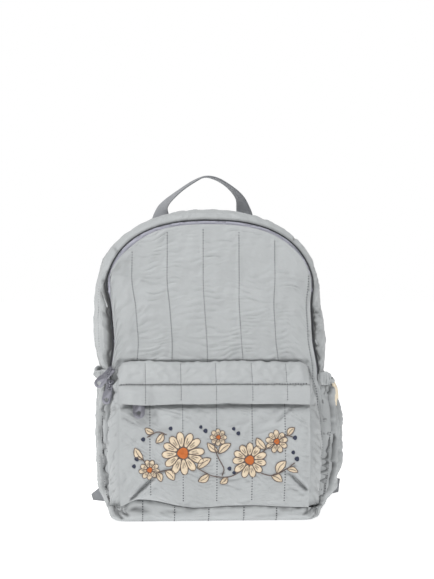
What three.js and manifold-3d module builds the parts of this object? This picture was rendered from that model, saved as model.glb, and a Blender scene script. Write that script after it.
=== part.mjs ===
// Quilted puffer backpack for a child: padded panels sewn round a main compartment, a front pocket
// with a flap, two side pouches, a webbing handle and two padded shoulder straps.
// Millimetres. +X is to the right, the front faces -Y, +Z is up. The origin is on the floor under the
// middle of the base.

import * as THREE from 'three';
import { mergeVertices } from 'three/addons/utils/BufferGeometryUtils.js';
import Module from 'manifold-3d';

// Clearances
const seamGap = 0.4;            // between two sewn pieces
const runningGap = 0.4;         // between moving hardware and what carries it

// Body of the bag
const baseHalfWidth = 116;
const sideFlare = 15;           // the band's fullest line, out from the base
const seamFlare = 1;            // its front and back rims, out from the base
const backFlare = 9;
const bodyHalfWidth = baseHalfWidth + sideFlare;
const bodyHeight = 348.5;
const springHeight = 245;       // the straight sides turn into the arch here
const seamHalfWidth = baseHalfWidth + seamFlare;
const seamCrown = 334.5;
const backHalfWidth = baseHalfWidth + backFlare;
const backCrown = 339;
const crownLean = -4.7;         // the stuffed top leans a little to one side
const frontDepth = 45;          // front rim of the band, ahead of the origin
const backDepth = 46;
const baseRise = 16.5;          // height of the seam round the base
const baseFrontReach = 33;      // the base in front of and behind the band
const baseBackReach = 4;
const baseFront = frontDepth + baseFrontReach;
const baseBack = backDepth + baseBackReach;
const baseCurl = 21;            // how far in from its seam the base turns flat
const padding = 4.5;            // quilted cloth, lining and wadding
const rimPadding = 2.2;         // the same, squeezed in a seam
const puff = 2;                 // how far a channel stands above its stitch lines
const channelPitch = 39;        // between two stitch lines
const frontQuilt = -8.5;        // place across of one stitch line on each quilted piece
const baseQuilt = -8;
const pocketQuilt = 7.3;
const flapQuilt = 2;
const backQuilt = 0;
const gatherDepth = 0.9;        // puckers along a seam

// Main zip
const zipShare = 0.655;         // where the zip ends, as a share of the spring height
const tapeReveal = 6.5;         // between the band and the front panel at the crown
const sideReveal = 2.8;         // the same on the sides
const tapeThickness = 0.8;
const coilRadius = 1.3;
const coilFlat = 0.8;           // the main coil's half section, bent into the gap
const coilShare = 0.32;         // where it lies in the reveal
const coilSides = 6;
const tapeWidth = 7;

// Front pocket
const pocketHalfWidth = 105.2;
const pocketCentre = -1.4;
const pocketHeight = 176;
const upperSeamHeight = 151;    // between the upper panel and the flap
const flapBottom = 130;
const flapThickness = 3;
const flapSwell = 8;            // how far the flap stands out over the zip pull
const lowerPanelTop = 133;
const pocketCornerDrop = 9;
const pocketSlope = 19.5;       // how far the upper panel leans back to the front panel
const pocketTopReach = 10.8;    // its top seam ahead of the band's front rim
const pocketTopDepth = frontDepth + pocketTopReach;
const pocketTopPower = 14;      // superellipse power of its top corners
const pocketTopLoft = 3.5;      // how full the top panel's channels are
const pocketSideInset = 0.6;    // side bands in from the face's edge
const pocketSideRise = 3;       // side bands above the top panel's dropped corners
const pocketSideSwell = 4;
const pocketTapeInset = 4;      // ends of the tape and of the coil in from the face's edge
const pocketCoilInset = 6;

// Side pouches
const pouchTop = 166;
const bandHeight = 11;          // elastic band round the top of a pouch
const pouchWall = 3;
const pouchLift = 0.3;          // between a pouch's puckers and the band behind it
const pouchInset = 1.5;         // in from the band's two rims
const pouchFront = frontDepth - pouchInset;
const pouchBack = backDepth - pouchInset;
const pouchSwellLeft = 3;       // out from the band's fullest line
const pouchSwellRight = 16;
const pouchFullLeft = bodyHalfWidth + pouchSwellLeft;
const pouchFullRight = bodyHalfWidth + pouchSwellRight;
const labelWidth = 15;
const labelLength = 29;
const labelThickness = 1.2;
const labelShare = 0.2;         // its front edge, as a share of the pouch's depth
const labelLift = 1.1;

// Zip hardware
const sliderWidth = 8;
const sliderLength = 11;
const sliderThickness = 2.5;
const sliderRise = 3.5;         // the upper slider above the zip's end
const sliderParting = 3;        // between the two main sliders
const bridgeRadius = 2.6;       // from the pull's bar to the middle of the bridge
const bridgeWire = 0.7;
const bridgeSweep = 245;        // degrees, both ends sunk in the slider's body
const bridgeSpread = 3;         // growth of the radius past a half turn, for each radian
const pullThickness = 1.6;
const pullBar = 1.6;
const pullWindow = 5;
const pullWindowWidth = 4.4;
const pullNeckWidth = 8;
const mainPullLength = 22;
const mainPullWidth = 10.5;
const pocketPullLength = 25.5;
const pocketPullWidth = 13;
const pullHoleRadius = 2.1;
const upperPullTurn = 43;       // degrees, hanging to the left over the full side
const lowerPullTurn = 12;
const pocketPullLean = 9;       // degrees, resting on the full pocket
const pocketSliderX = -84.5;

// Handle and straps
const handleWidth = 20;
const webbingThickness = 2;
const strapWidth = 46;
const strapThickness = 10;
const strapWebbingWidth = 20;
const adjusterLength = 26;
const adjusterWidth = 28;
const adjusterThickness = 3.6;
const adjusterBar = 4;
const anchorThickness = 2.2;
const anchorSewn = 13;          // length of a tab over the back panel
const anchorOut = 22;           // its reach past the base
const anchorLow = 9;            // below and above its middle, at the tip and at the sewn end
const anchorHigh = 7;
const anchorSewnLow = 15;
const anchorSewnHigh = 17;
const backPuff = 1.5;
const anchorRise = 8;           // its middle above the base's seam

const basePlaneGap = baseRise + seamGap;

// How many steps each surface takes along its length or height
const steps = {
  front: 12,
  band: 44,
  back: 9,
  zip: 40,
  pocket: 8,
  pocketTop: 5,
  pocketSide: 11,
  pouch: 14,
  label: 5,
  handle: 40,
  strap: 16,
  webbing: 8,
  bridge: 10,
};

// Seam outlines: width shares by height share of the spring height
const bandSides = [
  { height: 0.00, width: 0.900 },
  { height: 0.12, width: 0.915 },
  { height: 0.30, width: 0.925 },
  { height: 0.60, width: 0.925 },
  { height: 0.70, width: 0.950 },
  { height: 0.74, width: 1.004 },
  { height: 0.79, width: 1.014 },
  { height: 0.88, width: 1.008 },
  { height: 1.00, width: 0.988 },
  { height: 1.12, width: 0.983 },
  { height: 1.20, width: 1.000 },
];
const seamSides = [
  { height: 0.00, width: 0.965 },
  { height: 0.12, width: 0.975 },
  { height: 0.24, width: 0.998 },
  { height: 0.40, width: 1.030 },
  { height: 0.66, width: 1.004 },
  { height: 0.82, width: 0.965 },
  { height: 0.95, width: 0.968 },
  { height: 1.10, width: 1.005 },
  { height: 1.20, width: 1.000 },
];
const backSides = [
  { height: 0.00, width: 0.930 },
  { height: 0.12, width: 0.960 },
  { height: 0.40, width: 0.985 },
  { height: 1.00, width: 1.000 },
];
const bandOutline = { half: bodyHalfWidth, crown: bodyHeight, power: 2.15, sides: bandSides };
const seamOutline = { half: seamHalfWidth, crown: seamCrown, power: 2.45, sides: seamSides };
const backOutline = { half: backHalfWidth, crown: backCrown, power: 2.3, sides: backSides };

// Pocket face: depth shares of the base's front by height share of the lower panel
const pocketFullness = [
  { height: 0.13, depth: 1.000 },
  { height: 0.25, depth: 1.055 },
  { height: 0.46, depth: 1.085 },
  { height: 0.70, depth: 1.050 },
  { height: 0.85, depth: 1.005 },
  { height: 1.00, depth: 0.970 },
];
// Where the pocket's side bands meet the front panel: width shares of the front seam's half width by
// height share of the main zip's end, whose pulls hang beside the pocket
const pocketSeat = [
  { height: 0.105, width: 0.985 },
  { height: 0.296, width: 0.995 },
  { height: 0.506, width: 1.020 },
  { height: 0.678, width: 1.000 },
  { height: 0.792, width: 0.965 },
  { height: 0.916, width: 0.930 },
  { height: 1.059, width: 0.900 },
];
// Creases pulled into the pocket's face: places as shares of its half width and height, lengths and
// widths as shares of a channel's pitch, depths as shares of the padding
const pocketCreases = [
  { across: -0.76, height: 0.20, turn: 44, length: 0.87, width: 0.18, depth: 0.58 },
  { across: -0.60, height: 0.10, turn: 12, length: 1.13, width: 0.15, depth: 0.36 },
  { across: 0.84, height: 0.26, turn: -43, length: 0.77, width: 0.15, depth: 0.49 },
  { across: -0.62, height: 0.62, turn: 24, length: 1.03, width: 0.21, depth: 0.24 },
  { across: 0.55, height: 0.72, turn: -20, length: 1.18, width: 0.21, depth: 0.24 },
];
// Pouch fullness: outward shares by height share of the pouch
const pouchFullness = [
  { height: 0.00, out: 0.35 },
  { height: 0.10, out: 0.80 },
  { height: 0.30, out: 1.00 },
  { height: 0.62, out: 0.97 },
  { height: 0.82, out: 0.72 },
  { height: 0.93, out: 0.50 },
  { height: 1.00, out: 0.32 },
];

// Handle: places across as shares of the body's half width, above the crown as shares of the rise and
// behind as shares of its own width, and the turn of the webbing towards the front in degrees
const handleRise = 39;
const handleRows = [
  { across: -0.473, rise: -0.64, turn: 87, behind: 0.015 },
  { across: -0.450, rise: -0.42, turn: 80, behind: 0.090 },
  { across: -0.431, rise: -0.14, turn: 60, behind: 0.170 },
  { across: -0.405, rise: 0.14, turn: 30, behind: 0.125 },
  { across: -0.280, rise: 0.54, turn: 11, behind: 0.050 },
  { across: -0.130, rise: 0.88, turn: 7, behind: -0.050 },
  { across: -0.042, rise: 1.00, turn: 2, behind: -0.100 },
  { across: 0.053, rise: 0.95, turn: -3, behind: -0.100 },
  { across: 0.176, rise: 0.71, turn: -8, behind: -0.050 },
  { across: 0.275, rise: 0.36, turn: -26, behind: 0.050 },
  { across: 0.309, rise: -0.02, turn: -55, behind: 0.160 },
  { across: 0.328, rise: -0.35, turn: -80, behind: 0.130 },
  { across: 0.347, rise: -0.62, turn: -87, behind: 0.015 },
];
// Shoulder straps: heights as shares of the back's crown, places across as shares of its half width and
// behind its face as shares of the strap's width
const strapRows = [
  { height: 0.920, across: 0.296, behind: -0.028 },
  { height: 0.890, across: 0.304, behind: 0.109 },
  { height: 0.830, across: 0.336, behind: 0.304 },
  { height: 0.720, across: 0.400, behind: 0.457 },
  { height: 0.580, across: 0.472, behind: 0.478 },
  { height: 0.470, across: 0.544, behind: 0.391 },
  { height: 0.400, across: 0.600, behind: 0.261 },
];
const webbingRows = [
  { height: 1.00, across: 0.00 },
  { height: 0.66, across: 0.28 },
  { height: 0.33, across: 0.62 },
  { height: 0.00, across: 1.00 },
];

const wasm = await Module();
wasm.setup();

// Curves and tables

function ease(share) {
  const s = Math.min(1, Math.max(0, share));
  return s * s * (3 - 2 * s);
}

// Reads one named column of a table at a share of its first column, rounded between the rows.
function read(rows, key, at, by = 'height') {
  if (at <= rows[0][by]) return rows[0][key];
  for (let i = 1; i < rows.length; i += 1) {
    const low = rows[i - 1];
    const high = rows[i];
    if (at <= high[by]) {
      return low[key] + (high[key] - low[key]) * ease((at - low[by]) / (high[by] - low[by]));
    }
  }
  return rows[rows.length - 1][key];
}

function lean(z) {
  return crownLean * ease((z / springHeight - 0.57) / 0.33);
}

// Height of an arch over a share of its half width: the superellipse |x|^n + |z|^n = 1.
function archRise(share, power) {
  return (1 - Math.min(1, Math.abs(share)) ** power) ** (1 / power);
}

function halfWidthAt(outline, z) {
  const above = Math.max(0, z - springHeight) / (outline.crown - springHeight);
  const share = archRise(above, outline.power);
  return outline.half * share * read(outline.sides, 'width', z / springHeight);
}

// A point of an outline: along runs from 0, low on the left, over the crown to 1, low on the right.
const sideRun = 0.3;
function outlinePoint(outline, along) {
  const left = along < 0.5;
  const run = left ? along : 1 - along;
  const sign = left ? -1 : 1;
  if (run < sideRun) {
    const z = basePlaneGap + (springHeight - basePlaneGap) * (run / sideRun);
    return { x: lean(z) + sign * halfWidthAt(outline, z), z };
  }
  const angle = (Math.PI / 2) * ((run - sideRun) / (0.5 - sideRun));
  const z = springHeight + (outline.crown - springHeight) * Math.sin(angle) ** (2 / outline.power);
  const width = outline.half * Math.max(0, Math.cos(angle)) ** (2 / outline.power);
  return { x: lean(z) + sign * width * read(outline.sides, 'width', z / springHeight), z };
}

// The bag's front and back quilting: 0 on a stitch line, 1 between two.
function channel(x, offset) {
  return Math.abs(Math.sin((Math.PI * (x - offset)) / channelPitch)) ** 0.7;
}

function shares(count) {
  return Array.from({ length: count + 1 }, (_, i) => i / count);
}

// Columns across a panel: its two edges, each stitch line and the quarters between the lines, and
// close to the edges the extra shares given.
function channelColumns(half, offset, extra = []) {
  const quarter = channelPitch / 4;
  const columns = [-half, half, ...extra.flatMap((share) => [-share * half, share * half])];
  for (let k = Math.ceil((-half - offset) / quarter); offset + k * quarter < half; k += 1) {
    const x = offset + k * quarter;
    if (columns.every((other) => Math.abs(other - x) > quarter / 3)) columns.push(x);
  }
  return columns.sort((a, b) => a - b).map((x) => x / half);
}

// Closed shells

function solidFrom(points, faces) {
  const geometry = new THREE.BufferGeometry();
  const flat = points.flatMap((p) => [p.x, p.y, p.z]);
  geometry.setAttribute('position', new THREE.Float32BufferAttribute(flat, 3));
  let volume = 0;
  for (const [a, b, c] of faces) {
    volume += points[a].dot(new THREE.Vector3().crossVectors(points[b], points[c]));
  }
  const wound = volume < 0 ? faces.map(([a, b, c]) => [a, c, b]) : faces;
  geometry.setIndex(wound.flat());
  geometry.computeVertexNormals();
  return geometry;
}

// A wall between an outer and an inner grid of points, closed by a strip round its edge.
function wall(outer, inner) {
  const rows = outer.length;
  const columns = outer[0].length;
  const points = [...outer.flat(), ...inner.flat()];
  const back = rows * columns;
  const faces = [];
  const quad = (a, b, c, d) => faces.push([a, b, c], [a, c, d]);
  for (let i = 0; i + 1 < rows; i += 1) {
    for (let j = 0; j + 1 < columns; j += 1) {
      const a = i * columns + j;
      quad(a, a + columns, a + columns + 1, a + 1);
      quad(back + a, back + a + 1, back + a + columns + 1, back + a + columns);
    }
  }
  const rim = [];
  for (let j = 0; j < columns; j += 1) rim.push(j);
  for (let i = 1; i < rows; i += 1) rim.push(i * columns + columns - 1);
  for (let j = columns - 2; j >= 0; j -= 1) rim.push((rows - 1) * columns + j);
  for (let i = rows - 2; i > 0; i -= 1) rim.push(i * columns);
  rim.forEach((a, k) => {
    const b = rim[(k + 1) % rim.length];
    quad(a, b, back + b, back + a);
  });
  return solidFrom(points, faces);
}

// A grid of points from a function of two lists of shares.
function grid(rowShares, columnShares, pointAt) {
  return rowShares.map((v, i) => columnShares.map((u, j) => pointAt(v, u, i, j)));
}

// A closed tube: one ring of section points at each place along a path, capped flat at both ends.
function tube(rings) {
  const sides = rings[0].length;
  const points = rings.flat();
  const faces = [];
  for (let i = 0; i + 1 < rings.length; i += 1) {
    for (let j = 0; j < sides; j += 1) {
      const a = i * sides + j;
      const b = i * sides + ((j + 1) % sides);
      faces.push([a, b, b + sides], [a, b + sides, a + sides]);
    }
  }
  const last = (rings.length - 1) * sides;
  for (let j = 1; j + 1 < sides; j += 1) {
    faces.push([0, j + 1, j], [last, last + j, last + j + 1]);
  }
  return solidFrom(points, faces);
}

// Rings of a flat strap along a curve: its width runs from depth towards the curve's own side by the
// turn, and its section is a superellipse.
function strapRings(curve, count, width, thickness, corners, turnAt) {
  return shares(count).map((s) => {
    const centre = curve.getPoint(s);
    const along = curve.getTangent(s);
    const turn = THREE.MathUtils.degToRad(turnAt(s));
    const depth = new THREE.Vector3(0, 1, 0);
    const side = new THREE.Vector3().crossVectors(along, depth).normalize();
    const flat = new THREE.Vector3().crossVectors(side, along).normalize();
    const across = flat.clone().multiplyScalar(Math.cos(turn)).addScaledVector(side, Math.sin(turn));
    const up = new THREE.Vector3().crossVectors(across, along).normalize();
    return corners.map(([a, b]) => centre.clone()
      .addScaledVector(across, (a * width) / 2)
      .addScaledVector(up, (b * thickness) / 2));
  });
}
// Rings of a strap that hangs behind the back: its width stays level along X.
function levelRings(curve, count, width, thickness, corners) {
  return shares(count).map((s) => {
    const centre = curve.getPoint(s);
    const along = curve.getTangent(s);
    const across = new THREE.Vector3(1, 0, 0);
    const up = new THREE.Vector3(0, 1, 0);
    if (s > 0 && s < 1) up.crossVectors(across, along).normalize();
    const sign = Math.sign(up.y);
    return corners.map(([a, b]) => centre.clone()
      .addScaledVector(across, (a * width) / 2)
      .addScaledVector(up, (sign * b * thickness) / 2));
  });
}
const flatSection = [[-1, -1], [1, -1], [1, 1], [-1, 1]];
const padSection = [[-1, 0], [-0.86, -0.8], [0, -1], [0.86, -0.8], [1, 0], [0.86, 0.8], [0, 1], [-0.86, 0.8]];

// Faces of the main panels, used by what is sewn to them

const panelPower = seamOutline.power;
const archColumns = [0.95, 0.987];
function panelHalf(z) {
  const seamed = 1 - ease((z / springHeight - zipShare + 0.08) / 0.06);
  const open = halfWidthAt(seamOutline, Math.min(z, springHeight)) - sideReveal;
  return open + (sideReveal + rimPadding / 2) * seamed;
}
function frontFace(u, z) {
  const fullness = 3 * (1 - u * u) * Math.sin(Math.PI * Math.min(1, z / seamCrown)) ** 0.5;
  const edge = ease((1 - Math.abs(u)) * 6);
  return frontDepth + seamGap + rimPadding + (padding - rimPadding + fullness) * edge;
}

// Main compartment

function frontPanel() {
  const top = seamCrown - tapeReveal;
  const columns = channelColumns(panelHalf(springHeight), frontQuilt, archColumns);
  const rows = shares(steps.front);
  const place = (v, u) => {
    const high = springHeight + (top - springHeight) * archRise(u, panelPower);
    const z = basePlaneGap + (high - basePlaneGap) * v;
    const half = z > springHeight ? panelHalf(springHeight) * read(seamSides, 'width', z / springHeight)
      / read(seamSides, 'width', 1) : panelHalf(z);
    return { x: lean(z) + u * half, z };
  };
  const outer = grid(rows, columns, (v, u) => {
    const { x, z } = place(v, u);
    const rib = puff * channel(u * panelHalf(springHeight), frontQuilt) * ease((1 - Math.abs(u)) * 8)
      * ease(Math.min(v, 1 - v) * 10);
    return new THREE.Vector3(x, -frontFace(u, z) - rib, z);
  });
  const inner = grid(rows, columns, (v, u) => {
    const { x, z } = place(v, u);
    const edge = ease((1 - Math.abs(u)) * 6);
    return new THREE.Vector3(x, -frontFace(u, z) + rimPadding + (padding - rimPadding) * edge, z);
  });
  return wall(outer, inner);
}

// Depth stations across the band, 0 at its front rim and 1 at its back rim, and how full it is there:
// two stitch lines run along it.
const bandDepths = [
  { depth: 0.00, out: 0.00 },
  { depth: 0.07, out: 0.52 },
  { depth: 0.20, out: 0.88 },
  { depth: 0.33, out: 0.86 },
  { depth: 0.50, out: 1.00 },
  { depth: 0.67, out: 0.86 },
  { depth: 0.83, out: 0.84 },
  { depth: 0.94, out: 0.45 },
  { depth: 1.00, out: 0.00 },
];

function bandPoint(along, depth, out) {
  const front = outlinePoint(seamOutline, along);
  const middle = outlinePoint(bandOutline, along);
  const back = outlinePoint(backOutline, along);
  const x = front.x + (back.x - front.x) * depth;
  const z = front.z + (back.z - front.z) * depth;
  const middleX = (front.x + back.x) / 2;
  const middleZ = (front.z + back.z) / 2;
  const y = -frontDepth + (frontDepth + backDepth) * depth;
  return new THREE.Vector3(x + (middle.x - middleX) * out, y, z + (middle.z - middleZ) * out);
}

// Inward direction of the band at a place along it, in the plane of the outline.
function bandInward(along) {
  const step = 0.004;
  const before = outlinePoint(bandOutline, Math.max(0, along - step));
  const after = outlinePoint(bandOutline, Math.min(1, along + step));
  const length = Math.hypot(after.x - before.x, after.z - before.z);
  return { x: (after.z - before.z) / length, z: -(after.x - before.x) / length };
}

function mainGusset() {
  const stations = shares(steps.band);
  const depths = bandDepths.map((row) => row.depth);
  const pucker = (i, depth) => gatherDepth * (i % 2 ? -1 : 1) * Math.max(0, 1 - Math.abs(depth - 0.1) * 7);
  const outer = grid(stations, depths, (along, depth, i, j) => {
    const inward = bandInward(along);
    const fold = i === 0 || i === steps.band ? 0 : pucker(i, depth);
    return bandPoint(along, depth, bandDepths[j].out)
      .add(new THREE.Vector3(-inward.x * fold, 0, -inward.z * fold));
  });
  const inner = outer.map((row, i) => row.map((p, j) => {
    const inward = bandInward(stations[i]);
    const edge = ease(Math.min(depths[j], 1 - depths[j]) * 6);
    const thickness = rimPadding + (padding - rimPadding) * edge;
    const low = i === 0 || i === steps.band;
    return new THREE.Vector3(p.x + inward.x * thickness, p.y, low ? p.z : p.z + inward.z * thickness);
  }));
  return wall(outer, inner);
}

// Depth of the back panel's outer face, at shares across and up it and a share of a full channel.
function backSeat(u, v, full) {
  const edge = ease((1 - Math.abs(u)) * 7) * ease(Math.min(v, 1 - v) * 7 + 0.15);
  return backDepth + seamGap + rimPadding + (padding - rimPadding + backPuff * full) * edge;
}

function backPanel() {
  const half = halfWidthAt(backOutline, springHeight);
  const columns = channelColumns(half, backQuilt, archColumns);
  const rows = shares(steps.back);
  const inside = backDepth + seamGap;
  const place = (v, u) => {
    const high = springHeight + (backCrown - springHeight) * archRise(u, backOutline.power);
    const z = basePlaneGap + (high - basePlaneGap) * v;
    return { x: lean(z) + u * halfWidthAt(backOutline, Math.min(z, springHeight)), z };
  };
  const outer = grid(rows, columns, (v, u) => {
    const { x, z } = place(v, u);
    return new THREE.Vector3(x, backSeat(u, v, channel(u * half, backQuilt)), z);
  });
  const inner = grid(rows, columns, (v, u) => {
    const { x, z } = place(v, u);
    return new THREE.Vector3(x, inside, z);
  });
  return wall(outer, inner);
}

// The base is a shallow tray: flat in the middle, its edge turned up on a quarter ellipse.
function basePanel() {
  const columns = channelColumns(baseHalfWidth, baseQuilt).flatMap((u, i, list) => {
    const edge = (baseHalfWidth - baseCurl * 0.3) / baseHalfWidth;
    if (i === 0) return [u, -edge];
    if (i === list.length - 1) return [edge, u];
    return Math.abs(u) < edge ? [u] : [];
  });
  const depth = (baseFront + baseBack) / 2;
  const middle = (baseBack - baseFront) / 2;
  const rows = [-1, -0.955, -0.86, -0.7, -0.3, 0.3, 0.7, 0.86, 0.955, 1];
  const tray = (v, u, wallIn) => {
    const halfX = baseHalfWidth - wallIn;
    const halfY = depth - wallIn;
    let curlX = Math.max(0, (Math.abs(u) * baseHalfWidth - (baseHalfWidth - baseCurl)) / baseCurl);
    let curlY = Math.max(0, (Math.abs(v) * depth - (depth - baseCurl)) / baseCurl);
    const far = Math.max(1, Math.hypot(curlX, curlY));
    curlX /= far;
    curlY /= far;
    const flatX = Math.min(Math.abs(u) * baseHalfWidth, baseHalfWidth - baseCurl);
    const flatY = Math.min(Math.abs(v) * depth, depth - baseCurl);
    const x = Math.sign(u) * (flatX + curlX * (baseCurl - wallIn));
    const y = Math.sign(v) * (flatY + curlY * (baseCurl - wallIn));
    const level = Math.sqrt(Math.max(0, 1 - curlX ** 2 - curlY ** 2));
    const z = wallIn + (baseRise - wallIn) * (1 - level);
    const rib = v < -0.8 && wallIn === 0 ? puff * 0.7 * channel(x, baseQuilt) * curlY * level : 0;
    const inX = Math.min(halfX, Math.max(-halfX, x));
    const inY = Math.min(halfY, Math.max(-halfY, y));
    return new THREE.Vector3(inX, middle + inY - rib, z);
  };
  return wall(
    grid(rows, columns, (v, u) => tray(v, u, 0)),
    grid(rows, columns, (v, u) => tray(v, u, rimPadding + 1)),
  );
}

// Main zip: a tape behind the front panel's edge and a coil in the gap, from one end over the crown

const zipStart = sideRun * ((zipShare * springHeight - basePlaneGap) / (springHeight - basePlaneGap));
const zipStations = shares(steps.zip).map((s) => zipStart + (1 - 2 * zipStart) * s);

// A place set in from the band's front rim; the reveal grows from the sides to the crown.
function zipPoint(along, inset, depth) {
  const point = outlinePoint(seamOutline, along);
  const step = 0.004;
  const before = outlinePoint(seamOutline, along - step);
  const after = outlinePoint(seamOutline, along + step);
  const length = Math.hypot(after.x - before.x, after.z - before.z);
  return new THREE.Vector3(
    point.x + ((after.z - before.z) / length) * inset,
    -depth,
    point.z - ((after.x - before.x) / length) * inset,
  );
}
function reveal(along) {
  const height = ease((outlinePoint(seamOutline, along).z - springHeight) / (seamCrown - springHeight));
  return sideReveal + (tapeReveal - sideReveal) * height;
}

function mainZipTape() {
  const front = frontDepth - seamGap;
  const near = rimPadding + gatherDepth + seamGap;
  const strip = (depth) => zipStations.map((along) => [near, near + tapeWidth]
    .map((inset) => zipPoint(along, inset, depth)));
  return wall(strip(front), strip(front - tapeThickness));
}

function mainZipCoil() {
  const coilDepth = frontDepth + coilRadius + seamGap;
  return tube(zipStations.map((along) => {
    const centre = zipPoint(along, reveal(along) * coilShare, coilDepth);
    const outward = zipPoint(along, 0, coilDepth).sub(centre).normalize();
    return shares(coilSides).slice(0, coilSides).map((s) => centre.clone()
      .addScaledVector(outward, coilFlat * Math.cos(2 * Math.PI * s))
      .add(new THREE.Vector3(0, coilFlat * Math.sin(2 * Math.PI * s), 0)));
  }));
}

// Front pocket

const pocketColumnsLower = channelColumns(pocketHalfWidth, pocketQuilt);
const pocketColumnsUpper = channelColumns(pocketHalfWidth, flapQuilt);

function pocketDepth(z) {
  return baseFront * read(pocketFullness, 'depth', z / lowerPanelTop);
}
function pocketX(u, z) {
  return pocketCentre + u * pocketHalfWidth * (1 - 0.02 * ease(1 - z / (lowerPanelTop * 0.6)));
}

// How deep the creases lie at a place on the face: a valley along each crease's line.
function creaseDepth(x, z, creases, halfWidth, height) {
  return creases.reduce((deep, crease) => {
    const turn = THREE.MathUtils.degToRad(crease.turn);
    const dx = x - crease.across * halfWidth;
    const dz = z - crease.height * height;
    const along = (dx * Math.cos(turn) + dz * Math.sin(turn)) / ((crease.length * channelPitch) / 2);
    const beside = (dz * Math.cos(turn) - dx * Math.sin(turn)) / (crease.width * channelPitch);
    return deep + crease.depth * padding * Math.exp(-along * along - beside * beside);
  }, 0);
}

function pocketFrontPanel() {
  const rows = shares(steps.pocket);
  const place = (v) => basePlaneGap + (lowerPanelTop - basePlaneGap) * v;
  const outer = grid(rows, pocketColumnsLower, (v, u) => {
    const z = place(v);
    const edge = ease((1 - Math.abs(u)) * 9) * ease(Math.min(v, 1 - v) * 9 + 0.1);
    const rib = puff * 0.8 * channel(u * pocketHalfWidth, pocketQuilt) * edge;
    const crease = creaseDepth(u * pocketHalfWidth, z, pocketCreases, pocketHalfWidth, lowerPanelTop) * edge;
    return new THREE.Vector3(pocketX(u, z), -pocketDepth(z) - rib + crease, z);
  });
  const inner = grid(rows, pocketColumnsLower, (v, u) => {
    const z = place(v);
    return new THREE.Vector3(pocketX(u, z), -pocketDepth(z) + padding, z);
  });
  return wall(outer, inner);
}

const faceDepth = pocketTopDepth + pocketSlope;   // depth of the pocket's face at the upper seam
const flapDrop = upperSeamHeight - flapBottom;

function pocketUpperPanel() {
  const rows = shares(steps.pocketTop);
  const place = (v, u) => {
    const corner = pocketCornerDrop * (1 - archRise(u, pocketTopPower));
    const z = upperSeamHeight + (pocketHeight - corner - upperSeamHeight) * v;
    const y = faceDepth - pocketSlope * ((z - upperSeamHeight) / (pocketHeight - upperSeamHeight));
    return new THREE.Vector3(pocketCentre + u * pocketHalfWidth, -y, z);
  };
  const outer = grid(rows, pocketColumnsUpper, (v, u) => {
    const edge = Math.sin(Math.PI * v) ** 0.6 * ease((1 - Math.abs(u)) * 9);
    const rib = pocketTopLoft * (0.45 + 0.55 * channel(u * pocketHalfWidth, flapQuilt)) * edge;
    return place(v, u).add(new THREE.Vector3(0, -rib * 0.79, rib * 0.61));
  });
  const inner = grid(rows, pocketColumnsUpper, (v, u) => place(v, u).add(new THREE.Vector3(0, 0, -padding)));
  return wall(outer, inner);
}

function pocketFlap() {
  const rows = [0, 0.2, 0.5, 0.8, 1];
  const place = (v, u, thickness) => {
    const z = upperSeamHeight + seamGap - (flapDrop + seamGap) * v;
    const swell = flapSwell * ease(v * 2.6);
    const depth = faceDepth + seamGap + swell + thickness;
    return new THREE.Vector3(pocketCentre + u * pocketHalfWidth, -depth, z);
  };
  const outer = grid(rows, pocketColumnsUpper, (v, u) => {
    const edge = ease(Math.min(v, 1 - v) * 5 + 0.2) * ease((1 - Math.abs(u)) * 9);
    const rib = puff * 0.5 * channel(u * pocketHalfWidth, flapQuilt) * edge;
    return place(v, u, flapThickness + rib);
  });
  return wall(outer, grid(rows, pocketColumnsUpper, (v, u) => place(v, u, 0)));
}

// A side band of the pocket, from behind the face's edge back to the front panel.
function pocketGusset(side) {
  const top = pocketHeight - pocketCornerDrop + pocketSideRise;
  const rows = shares(steps.pocketSide);
  const columns = [0, 0.18, 0.5, 0.82, 1];
  const hump = [0, 0.75, 1, 0.7, 0];
  const place = (v, w, j, thickness) => {
    const z = basePlaneGap + (top - basePlaneGap) * v;
    const faceX = Math.abs(pocketX(side, z) - side * pocketSideInset);
    const seatShare = read(pocketSeat, 'width', z / (zipShare * springHeight));
    const seatX = Math.abs(lean(z) + side * seamHalfWidth * seatShare);
    const above = (z + padding - upperSeamHeight) / (pocketHeight - upperSeamHeight);
    const face = pocketDepth(Math.min(z, lowerPanelTop)) - padding;
    const front = Math.min(face, faceDepth - pocketSlope * above) - seamGap - pocketSideInset / 2;
    const back = frontFace(0.85, z) + puff * 0.6 + seamGap;
    const out = pocketSideSwell * hump[j] * ease((1 - v) * 3);
    const x = faceX + (seatX - faceX) * w + out - thickness;
    return new THREE.Vector3(side * x, -(front + (back - front) * w), z);
  };
  return wall(
    grid(rows, columns, (v, w, i, j) => place(v, w, j, 0)),
    grid(rows, columns, (v, w, i, j) => place(v, w, j, rimPadding + 1)),
  );
}

const pocketTapeFront = faceDepth - tapeThickness;
function pocketZipTape() {
  const low = lowerPanelTop + seamGap;
  const high = upperSeamHeight - padding - seamGap;
  const half = pocketHalfWidth - pocketTapeInset;
  const tape = new THREE.BoxGeometry(2 * half, tapeThickness, high - low);
  tape.translate(pocketCentre, -(pocketTapeFront - tapeThickness / 2), (low + high) / 2);
  return tape;
}
const pocketZipHeight = (lowerPanelTop + upperSeamHeight - padding) / 2;
function pocketZipCoil() {
  const from = pocketSliderX + sliderLength / 2 + runningGap;
  const to = pocketCentre + pocketHalfWidth - pocketCoilInset;
  const coil = new THREE.CylinderGeometry(coilRadius, coilRadius, to - from, coilSides);
  coil.rotateZ(Math.PI / 2);
  coil.translate((from + to) / 2, -(pocketTapeFront + coilRadius + seamGap), pocketZipHeight);
  return coil;
}

// Side pouches

const pouchHeights = [0, 0.08, 0.22, 0.42, 0.62, 0.8, 0.92, 1];

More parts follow.
